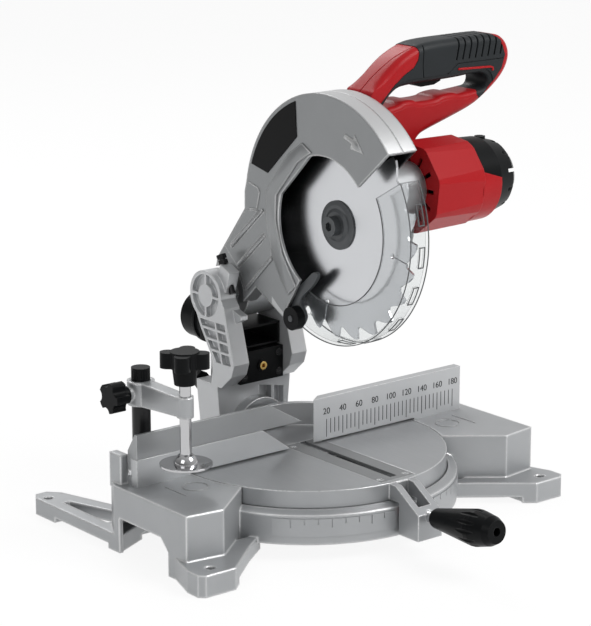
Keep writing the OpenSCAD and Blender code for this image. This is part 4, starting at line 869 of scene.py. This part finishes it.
@dataclass
class BaseGroup(Group):
    """Base casting, its fence and the marks on them.

    The ruler on the fence has a long tick and a number at each step and a short tick at each fine
    step. The mark on a wing is a ring, by its outer and inner radius, beside a line.
    """

    face: float = -15.0
    proud: float = 0.12
    sunk: float = 0.05
    ruler_zero: float = 4.0
    ruler_end: int = 180
    step: int = 20
    fine_step: int = 5
    tick_top: float = 84.0
    tick_half: float = 0.3
    long_tick: float = 17.4
    short_tick: float = 14.4
    number_size: float = 8.6
    number_foot: float = 89.0
    wing_top: float = 62.0
    wing_sunk: float = 0.1
    wing_proud: float = 0.4
    wing_spot: Point = (151.4, -44.3)
    wing_ring: Point = (12.0, 10.9)
    wing_line: float = 173.0
    wing_line_half: float = 16.0
    wing_line_width: float = 1.1
    cut_reach: float = 1.0

    coats: ClassVar[Coats] = {
        Finishes.CAST: ("base_casting",),
        Finishes.FENCE: ("fence",),
        # Painted shade: the sliding fence takes the darker copy of the fence's alloy
        Finishes.SHADED: ("sliding_fence",),
        Finishes.STEEL: ("fence_bolts", "table_pivot_bolt"),
        Finishes.RING: ("mitre_scale",),
        Finishes.BLACK: ("fence_lock_knob",),
    }

    def ticks(self, first: float, step: float, count: int, length: float) -> Piece:
        """A row of tick marks on the fence.

        Args:
            first: the first tick's place across the fence.
            step: the distance between ticks.
            count: how many.
            length: their length.

        Returns:
            The row.
        """
        left, right = first - self.tick_half, first + self.tick_half
        foot, top = self.tick_top - length, self.tick_top
        outline = [(left, foot), (right, foot), (right, top), (left, top)]
        row = Workshop.prism("tick", outline, self.face - self.proud, self.face + self.sunk, Axis.Y)
        Workshop.repeat(row, count, step)
        return row

    def number(self, value: int) -> Piece:
        """One number of the ruler, upright on the fence."""
        bpy.ops.object.select_all(action="DESELECT")
        bpy.ops.object.text_add()
        text = bpy.context.active_object
        text.data.body = str(value)
        text.data.size = self.number_size * MM
        text.data.align_x = "CENTER"
        text.data.extrude = self.proud * MM / 2.0
        bpy.ops.object.convert(target="MESH")
        text = bpy.context.active_object
        text.rotation_euler = (math.pi / 2.0, 0.0, 0.0)
        place = (self.ruler_zero + value, self.face - self.proud / 2.0, self.number_foot)
        text.location = Vector(place) * MM
        bpy.ops.object.transform_apply(location=True, rotation=True, scale=True)
        return text

    def ruler(self) -> None:
        """Draws the ruler on the right fence."""
        first = self.step + self.fine_step
        steps, fine_steps = self.ruler_end // self.step, (self.ruler_end - first) // self.fine_step
        marks = [
            self.ticks(self.ruler_zero + self.step, self.step, steps, self.long_tick),
            self.ticks(self.ruler_zero + first, self.fine_step, fine_steps, self.short_tick),
        ]
        marks += [self.number(value) for value in range(self.step, self.ruler_end + 1, self.step)]
        Workshop.settle(Workshop.join(marks, "fence_ruler"), self.finishes, Finishes.PLATE, "base")

    def wing_marks(self) -> None:
        """Models the ring and the line that are cast on each wing."""
        marks = []
        across, along = self.wing_spot
        outer, inner = self.wing_ring
        low, high = self.wing_top - self.wing_sunk, self.wing_top + self.wing_proud
        for side in (-1.0, 1.0):
            ring = Workshop.prism("ring", circle_outline(outer, side * across, along), low, high, Axis.Z)
            outline = circle_outline(inner, side * across, along)
            hollow = Workshop.prism("hollow", outline, low - self.cut_reach, high + self.cut_reach, Axis.Z)
            Workshop.combine(ring, hollow, Blend.CUT)
            half = self.wing_line_half
            ends = [(side * self.wing_line, along + end) for end in (-half, half)]
            line = Workshop.prism("line", band(ends, self.wing_line_width), low, high, Axis.Z)
            marks += [ring, line]
        Workshop.settle(Workshop.join(marks, "wing_marks"), self.finishes, Finishes.CAST, "base")

    def model(self) -> None:
        """Models the marks."""
        self.ruler()
        self.wing_marks()


@dataclass
class ClampGroup(Group):
    """Hold-down clamp."""

    coats: ClassVar[Coats] = {
        Finishes.CAST: ("clamp_arm",),
        Finishes.BLUED: ("clamp_post",),
        Finishes.BLACK: ("clamp_post_cap", "clamp_side_knob", "clamp_knob"),
        Finishes.CHROME: ("clamp_screw", "clamp_pad"),
    }


@dataclass
class TableGroup(Group):
    """Turntable, its insert and the mitre lock."""

    coats: ClassVar[Coats] = {
        Finishes.MACHINED: ("turntable",),
        Finishes.INSERT: ("kerf_insert",),
        Finishes.STEEL: ("insert_screws", "tilt_pivot_bolt", "mitre_lock_rod"),
        Finishes.RED: ("mitre_pointer",),
        Finishes.BLACK: ("mitre_lock_handle",),
    }


@dataclass
class TiltGroup(Group):
    """Tilting arm with its laser, stops and levers."""

    coats: ClassVar[Coats] = {
        # Painted light: the tilt arm takes the lighter copy of the cast alloy
        Finishes.YOKE: ("tilt_arm",),
        Finishes.SCALE: ("tilt_scale",),
        Finishes.BLACK: ("laser_housing", "tilt_lock_lever", "dust_port"),
        Finishes.BRASS: ("laser_lens",),
        Finishes.BLUED: ("laser_screws", "depth_stop_bolts"),
        Finishes.STEEL: ("head_pivot_pin", "return_spring"),
    }


@dataclass
class BladeGroup(Group):
    """Blade, its flanges and the clear guard.

    The guard's sector and the places of its slots are angles in degrees from straight back, upwards.
    """

    guard_radius: float = 109.5
    inner_radius: float = 72.0
    sector: Point = (150.5, 298.5)
    sides: Point = (-11.0, 10.4)
    line: float = 0.8
    line_proud: float = 0.1
    arc_steps: int = 72
    slots: int = 6
    slot_first: float = 166.0
    slot_step: float = 20.0
    frame_half: float = 9.8
    frame_width: float = 0.9
    frame_sides: Point = (-0.8, 5.8)
    frame_radii: Point = (-0.4, 0.25)
    hollow_sides: Point = (0.1, 4.9)
    hollow_radii: Point = (-2.0, 2.0)
    slot_steps: int = 6

    coats: ClassVar[Coats] = {
        Finishes.BLADE: ("blade",),
        Finishes.DARK: ("inner_flange", "outer_flange", "arbor_bolt"),
        Finishes.STEEL: ("spindle", "drive_gear"),
        Finishes.CLEAR: ("lower_guard",),
        Finishes.BLACK: ("guard_roller",),
    }

    def spot(self, radius: float, turn: float) -> Point:
        """A place on the guard's side, by its radius and its angle in degrees."""
        angle = math.radians(turn)
        return HUB[1] + radius * math.cos(angle), HUB[2] + radius * math.sin(angle)

    def curved(self, name: str, turns: Sequence[float], radii: Point, sides: Point) -> Piece:
        """A block that follows the guard's rim.

        Args:
            name: its name.
            turns: the angles that it passes, in degrees.
            radii: its inner and outer radius.
            sides: its left and right side, from the blade's centre.

        Returns:
            The block.
        """
        inner, outer = radii
        outline = [self.spot(outer, turn) for turn in turns]
        outline += [self.spot(inner, turn) for turn in reversed(turns)]
        return Workshop.prism(name, outline, HUB[0] + sides[0], HUB[0] + sides[1])

    def arc(self, radius: float, left: float) -> Piece:
        """A thin line along the guard's sector."""
        first, last = self.sector
        turns = [first + (last - first) * step / self.arc_steps for step in range(self.arc_steps + 1)]
        return self.curved("arc", turns, (radius - self.line, radius), (left, left + self.line))

    def slot_block(self, name: str, turn: float, half: float, radii: Point, sides: Point) -> Piece:
        """A block across the rim at an angle, with half its length and its place in the rim's wall."""
        swing = math.degrees(half / self.guard_radius)
        turns = [turn - swing + 2.0 * swing * step / self.slot_steps for step in range(self.slot_steps + 1)]
        inner, outer = self.guard_radius + radii[0], self.guard_radius + radii[1]
        return self.curved(name, turns, (inner, outer), sides)

    def slot_frame(self, turn: float) -> Piece:
        """Painted shade round one sight slot in the rim, drawn as a dark frame."""
        outer, inner = self.frame_half, self.frame_half - self.frame_width
        block = self.slot_block("frame", turn, outer, self.frame_radii, self.frame_sides)
        hollow = self.slot_block("hollow", turn, inner, self.hollow_radii, self.hollow_sides)
        Workshop.combine(block, hollow, Blend.CUT)
        return block

    def model(self) -> None:
        """Models dark strips of painted shade along the clear guard's edges and round its sight slots."""
        left, right = self.sides
        proud = self.line_proud
        lines = [
            self.arc(self.guard_radius + proud, left - proud),
            self.arc(self.guard_radius + proud, right - self.line + proud),
            self.arc(self.inner_radius + self.line, left - proud),
        ]
        lines += [self.slot_frame(self.slot_first + self.slot_step * slot) for slot in range(self.slots)]
        # Dark strips of painted shade on the clear guard
        piece = Workshop.join(lines, "guard_edge_painted_shade")
        Workshop.settle(piece, self.finishes, Finishes.DARK, "lower_guard")


@dataclass
class HeadGroup(Group):
    """Upper guard, gear case, motor and the D handle.

    Places are from the blade's centre. A relief on the guard is how far it stands out and how much
    its edges are rounded. A fade is where the handle's rounding starts and over what length it grows.
    """

    guard_face: float = -19.0
    relief_sunk: float = 0.2
    lip_relief: Point = (1.5, 1.3)
    arrow_relief: Point = (0.5, 0.2)
    rib_relief: Point = (1.5, 0.7)
    rib_width: float = 2.8
    panel_relief: Point = (0.8, 0.3)
    panel_width: float = 1.4
    cover_sides: Point = (-0.3, 0.1)
    handle_near: float = -25.0
    handle_far: float = 11.0
    handle_round: float = 8.0
    root_fade: Point = (18.0, 16.0)
    foot_fade: Point = (58.0, 22.0)
    opening_round: float = 5.0
    opening_sink: float = 1.0
    opening_reach: float = 9.0
    round_steps: int = 6
    cut_reach: float = 15.0
    motor_axis: Point = (-44.0, 36.0)
    motor_radius: float = 42.05
    motor_reach: float = 150.0
    case_radius: float = 51.8
    nose_radius: float = 24.05
    case_end: float = 44.05
    seat_overlap: float = 0.1
    grip_proud: float = 0.5
    trigger_half: float = 7.3
    button: Point = (96.0, 149.0)
    button_radius: float = 5.3
    button_depths: Point = (3.0, 30.0)
    grooves: int = 8
    groove_first: Point = (117.4, 141.4)
    groove_step: float = 7.8
    groove_curve: float = 0.012
    groove_lean: Point = (7.5, 34.0)
    groove_width: float = 1.9
    groove_depth: float = 1.5
    line_width: float = 1.0
    line_depth: float = 0.8
    line_reach: float = 9.0
    line_stop: float = 1.3
    neck_width: float = 0.9
    neck_heights: Point = (90.0, 175.0)
    accent_width: float = 2.0
    accent_sides: Point = (-1.0, 1.5)
    accent_round: float = 0.3
    lever_sides: Point = (-15.0, -11.2)
    lever_round: float = 0.8
    roller: Point = (41.0, -92.0)
    boss_radius: float = 8.5
    boss_shift: float = -0.2
    pin_radius: float = 2.9
    pin_length: float = 10.0
    pin_sunk: float = 0.5
    pin_round: float = 0.4

    coats: ClassVar[Coats] = {
        Finishes.GUARD: ("upper_guard", "gear_case"),
        Finishes.PLATE: ("guard_plate",),
        Finishes.STEEL: ("guard_screws", "handle_screws", "ball_bearings", "motor_stator", "armature"),
        Finishes.RED: ("motor_housing", "handle_front", "handle_rear", "lock_off_button"),
        Finishes.BLACK: ("motor_end_cap", "brush_caps", "trigger", "spindle_lock_button", "cooling_fan"),
        Finishes.RUBBER: ("handle_grip", "cord_inlet"),
    }

    def across(self, name: str, outline: Outline, low: float, high: float) -> Piece:
        """A prism drawn from the hub, from left to right."""
        place = shifted(outline, HUB[1], HUB[2])
        return Workshop.prism(name, place, HUB[0] + low, HUB[0] + high)

    def deep(self, name: str, outline: Outline, near: float, far: float) -> Piece:
        """A prism drawn from the hub, from the operator to the back."""
        place = shifted(outline, HUB[0], HUB[2])
        return Workshop.prism(name, place, HUB[1] + near, HUB[1] + far, Axis.Y)

    def through(self, name: str, outline: Outline) -> Piece:
        """A prism that passes right through the handle."""
        return self.deep(name, outline, self.handle_near - self.cut_reach, self.handle_far + self.cut_reach)

    def quarter(self) -> list[Point]:
        """Steps of a quarter round of size 1: how far along each is, and how far it is drawn in."""
        turns = [math.pi / 2.0 * step / self.round_steps for step in range(self.round_steps + 1)]
        return [(1.0 - math.cos(turn), 1.0 - math.sin(turn)) for turn in turns]

    def skin(self, name: str, rings: Sequence[tuple[float, list[Point]]], near: float, far: float) -> Piece:
        """Skins a solid that is the same towards both faces of the handle.

        Args:
            name: the solid's name.
            rings: outlines by their distance from a face, the outermost first.
            near: the face towards the operator.
            far: the face at the back.

        Returns:
            The solid.
        """
        placed = [(along, shifted(ring, HUB[0], HUB[2])) for along, ring in rings]
        rows = [(HUB[1] + near + along, ring) for along, ring in placed]
        rows += [(HUB[1] + far - along, ring) for along, ring in reversed(placed)]
        return Workshop.stack(name, rows)

    def body(self, name: str, depth: float) -> Piece:
        """The handle's form without its opening, rounded towards both faces.

        Args:
            name: the solid's name.
            depth: how much smaller it is all round.

        Returns:
            The solid.
        """
        outline = rounded_outline(HANDLE, rounds=3)
        # The root and the foot, which the guard and the motor hide, stay square
        shares = [faded(x, *self.root_fade) * faded(z, *self.foot_fade) for x, z in outline]
        outline = inset(outline, [depth] * len(outline))
        size = self.handle_round - depth
        rings = []
        for along, drawn in self.quarter():
            rings.append((size * along, inset(outline, [share * size * drawn for share in shares])))
        return self.skin(name, rings, self.handle_near + depth, self.handle_far - depth)

    def opening(self) -> Piece:
        """The finger opening's solid, flared towards both faces."""
        outline = rounded_outline(OPENING)
        size = self.opening_round
        flares = [(-self.opening_reach, size)]
        flares += [(self.opening_sink + size * along, size * drawn) for along, drawn in self.quarter()]
        rings = [(along, inset(outline, [-flare] * len(outline))) for along, flare in flares]
        return self.skin("opening", rings, self.handle_near, self.handle_far)

    def handle_ring(self, name: str, depth: float) -> Piece:
        """The whole rounded D of the handle, seated over the gear case and the motor.

        Args:
            name: the solid's name.
            depth: how much smaller it is all round.

        Returns:
            The solid.
        """
        ring = self.body(name, depth)
        Workshop.combine(ring, self.opening(), Blend.CUT)
        for middle, radius, low, high in (
            ((0.0, 0.0), self.case_radius, 0.0, self.case_end),
            (self.motor_axis, self.nose_radius, 0.0, self.case_end),
            (self.motor_axis, self.motor_radius, self.case_end - self.seat_overlap, self.motor_reach),
        ):
            saddle = self.across("saddle", circle_outline(radius, *middle, sides=96), low, high)
            Workshop.combine(ring, saddle, Blend.CUT)
        return ring

    def handle(self) -> None:
        """Models the red shells and the grooved soft grip."""
        shell = self.handle_ring("handle_shell", self.grip_proud)
        grip = self.handle_ring("handle_soft_grip", 0.0)
        Workshop.combine(grip, self.through("region", GRIP), Blend.KEEP)
        Workshop.combine(shell, self.through("region", GRIP), Blend.CUT)
        self.groove(grip)
        self.parting(shell)
        for piece, finish, nodes in (
            (shell, Finishes.RED, ("handle_front", "handle_rear")),
            (grip, Finishes.RUBBER, ("handle_grip",)),
        ):
            Workshop.smooth(piece)
            Workshop.settle(piece, self.finishes, finish, "head", nodes)

    def score(self, piece: Piece, lines: Sequence[Piece], depth: float) -> None:
        """Cuts lines into a piece's skin.

        Args:
            piece: the piece.
            lines: solids that cross it along the lines.
            depth: how deep the lines are under the handle's own skin.
        """
        for line in lines:
            Workshop.combine(line, self.body("core", depth), Blend.CUT)
            Workshop.combine(piece, line, Blend.CUT)

    def groove(self, grip: Piece) -> None:
        """Cuts the grip's trigger pocket, its button hole, its cross grooves and its lines."""
        middle, half = (self.handle_near + self.handle_far) / 2.0, self.trigger_half
        Workshop.combine(grip, self.deep("pocket", TRIGGER_POCKET, middle - half, middle + half), Blend.CUT)
        hole = circle_outline(self.button_radius, *self.button)
        Workshop.combine(grip, self.deep("hole", hole, *self.button_depths), Blend.CUT)
        grooves = []
        for index in range(self.grooves):
            # Feet on a slight curve: cuts whose corners line up leave the solver open edges
            x = self.groove_first[0] + self.groove_step * index
            z = self.groove_first[1] + self.groove_curve * (index + 2) ** 2
            ends = ((x, z), (x + self.groove_lean[0], z + self.groove_lean[1]))
            grooves.append(self.through("groove", band(ends, self.groove_width)))
        self.score(grip, grooves, self.groove_depth)
        near, far = self.handle_near - self.line_reach, middle - self.line_stop
        outlines = [band(line, self.line_width) for line in (PANEL_LINE, COLLAR_LINE)]
        lines = [self.deep("line", outline, near, far) for outline in outlines]
        self.score(grip, lines, self.line_depth)

    def parting(self, shell: Piece) -> None:
        """Cuts the line where the shells meet, along the neck."""
        neck = band(shifted(NECK_LINE, HUB[0], HUB[1]), self.neck_width)
        low, high = (HUB[2] + height for height in self.neck_heights)
        slab = Workshop.prism("slab", neck, low, high, Axis.Z)
        self.score(shell, (slab,), self.line_depth + self.grip_proud)

    def accent(self) -> None:
        """Lays the thin red bar in the grip's front panel."""
        near, far = (self.handle_near + side for side in self.accent_sides)
        bar = self.deep("handle_accent", band(ACCENT, self.accent_width), near, far)
        Workshop.soften(bar, self.accent_round)
        Workshop.smooth(bar)
        Workshop.settle(bar, self.finishes, Finishes.RED, "head")

    def raised(self, name: str, outline: Outline, relief: Point) -> Piece:
        """A raised form on the guard's left face.

        Args:
            name: its name.
            outline: its outline.
            relief: how far it stands out and how much its edges are rounded.

        Returns:
            The form.
        """
        proud, round_off = relief
        form = self.across(name, outline, self.guard_face - proud, self.guard_face + self.relief_sunk)
        Workshop.soften(form, round_off)
        return form

    def guard_marks(self) -> None:
        """Models the lip, the ribs, the cover of the arm, the panel's frame and the arrow on the guard."""
        forms = [self.raised("lip", WINDOW_LIP, self.lip_relief)]
        forms.append(self.raised("arrow", TURN_ARROW, self.arrow_relief))
        forms += [self.raised("rib", band(rib, self.rib_width), self.rib_relief) for rib in ARM_RIBS]
        low, high = (self.guard_face + side for side in self.cover_sides)
        forms.append(self.across("cover", ARM_COVER, low, high))
        forms.append(self.raised("panel", band(SIDE_PANEL, self.panel_width), self.panel_relief))
        piece = Workshop.join(forms, "guard_marks")
        Workshop.smooth(piece)
        Workshop.settle(piece, self.finishes, Finishes.GUARD, "head")

    def claw(self) -> None:
        """Models the clear guard's lever: a slim claw, its boss and the roller's pin."""
        left, right = self.lever_sides
        arm = self.across("guard_claw", rounded_outline(CLAW, rounds=1), left, right)
        ring = circle_outline(self.boss_radius, *self.roller)
        boss = self.across("boss", ring, left + self.boss_shift, right + self.boss_shift)
        Workshop.combine(arm, boss, Blend.JOIN)
        Workshop.soften(arm, self.lever_round, segments=3)
        ring = circle_outline(self.pin_radius, *self.roller, sides=40)
        pin = self.across("pin", ring, left - self.pin_length, left + self.pin_sunk)
        Workshop.soften(pin, self.pin_round)
        piece = Workshop.join((arm, pin), "guard_claw")
        Workshop.smooth(piece)
        Workshop.settle(piece, self.finishes, Finishes.DARK, "lower_guard", ("guard_lever",))

    def model(self) -> None:
        """Models the handle, the marks on the guard and the lever."""
        self.handle()
        self.accent()
        self.guard_marks()
        self.claw()


@dataclass
class Studio:
    """Floor, soft light and the camera of the photograph.

    Lengths in metres and angles in degrees. A lamp is a name, a place, a side and a power in watts.
    """

    azimuth: float = -39.146
    elevation: float = 14.094
    distance: float = 2.2395
    target: Spot = (0.0, -0.015, 0.210)
    lens: float = 139.63
    shift: Point = (-0.0180, -0.0319)
    floor_side: float = 30.0
    floor_drop: float = 0.0005
    floor_white: float = 0.9
    level: float = 0.38
    from_above: float = 0.26
    from_right: float = 0.22
    lamps: tuple[tuple[str, Spot, float, float], ...] = (
        ("key", (1.0, -1.6, 2.0), 1.3, 40.0),
        ("fill", (-1.9, -0.6, 1.3), 1.2, 9.0),
        ("back", (0.5, 1.8, 1.9), 1.2, 20.0),
    )

    def floor(self) -> None:
        """Lays a pale floor that camera, glossy and transmission rays see as mostly plain white."""
        bpy.ops.object.select_all(action="DESELECT")
        bpy.ops.mesh.primitive_plane_add(size=self.floor_side, location=(0.0, 0.0, -self.floor_drop))
        floor = bpy.context.active_object
        floor.name = "floor"
        surface = Surface("pale_floor")
        tone = surface.mix(surface.noise(3.0), (0.95, 0.95, 0.95), (0.97, 0.97, 0.97))
        surface.finish(Base_Color=tone, Roughness=0.7)
        white = surface.node("ShaderNodeEmission", None, Color=(1.0, 1.0, 1.0), Strength=1.0)
        rays = surface.node("ShaderNodeLightPath")
        seen = surface.wire(rays, "Is Camera Ray") + surface.wire(rays, "Is Glossy Ray")
        seen = (seen + surface.wire(rays, "Is Transmission Ray")).limited()
        show(surface.tree, seen * self.floor_white, surface.shader, white, surface.output)
        floor.data.materials.append(surface.material)

    def world(self) -> None:
        """Soft light from all around, seen as white by the camera."""
        world = bpy.data.worlds.new("studio")
        bpy.context.scene.world = world
        world.use_nodes = True
        tree = world.node_tree
        tree.nodes.clear()
        output = tree.nodes.new("ShaderNodeOutputWorld")
        soft = tree.nodes.new("ShaderNodeBackground")
        soft.inputs["Color"].default_value = (1.0, 1.0, 1.0, 1.0)
        spot = tree.nodes.new("ShaderNodeSeparateXYZ")
        tree.links.new(tree.nodes.new("ShaderNodeTexCoord").outputs["Generated"], spot.inputs[0])
        right, up = Wire(tree, spot.outputs["X"]), Wire(tree, spot.outputs["Z"])
        strength = self.level + self.from_above * up + self.from_right * right
        plug(tree, strength.limited(), soft.inputs["Strength"])
        white = tree.nodes.new("ShaderNodeBackground")
        white.inputs["Color"].default_value = (1.0, 1.0, 1.0, 1.0)
        rays = tree.nodes.new("ShaderNodeLightPath")
        show(tree, Wire(tree, rays.outputs["Is Camera Ray"]), soft, white, output)

    def lamp(self, name: str, place: Spot, size: float, power: float) -> None:
        """Adds a square soft lamp that looks at the saw.

        Args:
            name: its name.
            place: where it stands, in metres.
            size: its side in metres.
            power: its power in watts.
        """
        data = bpy.data.lights.new(name, "AREA")
        data.size = size
        data.energy = power
        lamp = bpy.data.objects.new(name, data)
        bpy.context.scene.collection.objects.link(lamp)
        lamp.location = place
        look = Vector(self.target) - Vector(place)
        lamp.rotation_euler = look.to_track_quat("-Z", "Y").to_euler()

    def camera(self) -> None:
        """Stands the camera where the photograph was taken from."""
        turn, lift = math.radians(self.azimuth), math.radians(self.elevation)
        back = Vector((math.sin(turn) * math.cos(lift), -math.cos(turn) * math.cos(lift), math.sin(lift)))
        data = bpy.data.cameras.new("camera")
        data.lens = self.lens
        data.sensor_width = 36.0
        data.shift_x, data.shift_y = self.shift
        data.clip_end = 50.0
        camera = bpy.data.objects.new("camera", data)
        bpy.context.scene.collection.objects.link(camera)
        camera.location = Vector(self.target) + back * self.distance
        camera.rotation_euler = back.to_track_quat("Z", "Y").to_euler()
        bpy.context.scene.camera = camera

    def build(self) -> None:
        """Sets up the whole studio."""
        bpy.context.scene.view_settings.view_transform = "Standard"
        self.floor()
        self.world()
        for name, place, size, power in self.lamps:
            self.lamp(name, place, size, power)
        self.camera()


def main() -> None:
    """Builds the saw's looks and the studio."""
    logging.basicConfig(level=logging.INFO, format="%(message)s")
    finishes = Finishes()
    Studio().build()
    for group in (BaseGroup, ClampGroup, TableGroup, TiltGroup, BladeGroup, HeadGroup):
        group(finishes).build()


if __name__ == "__main__":
    main()
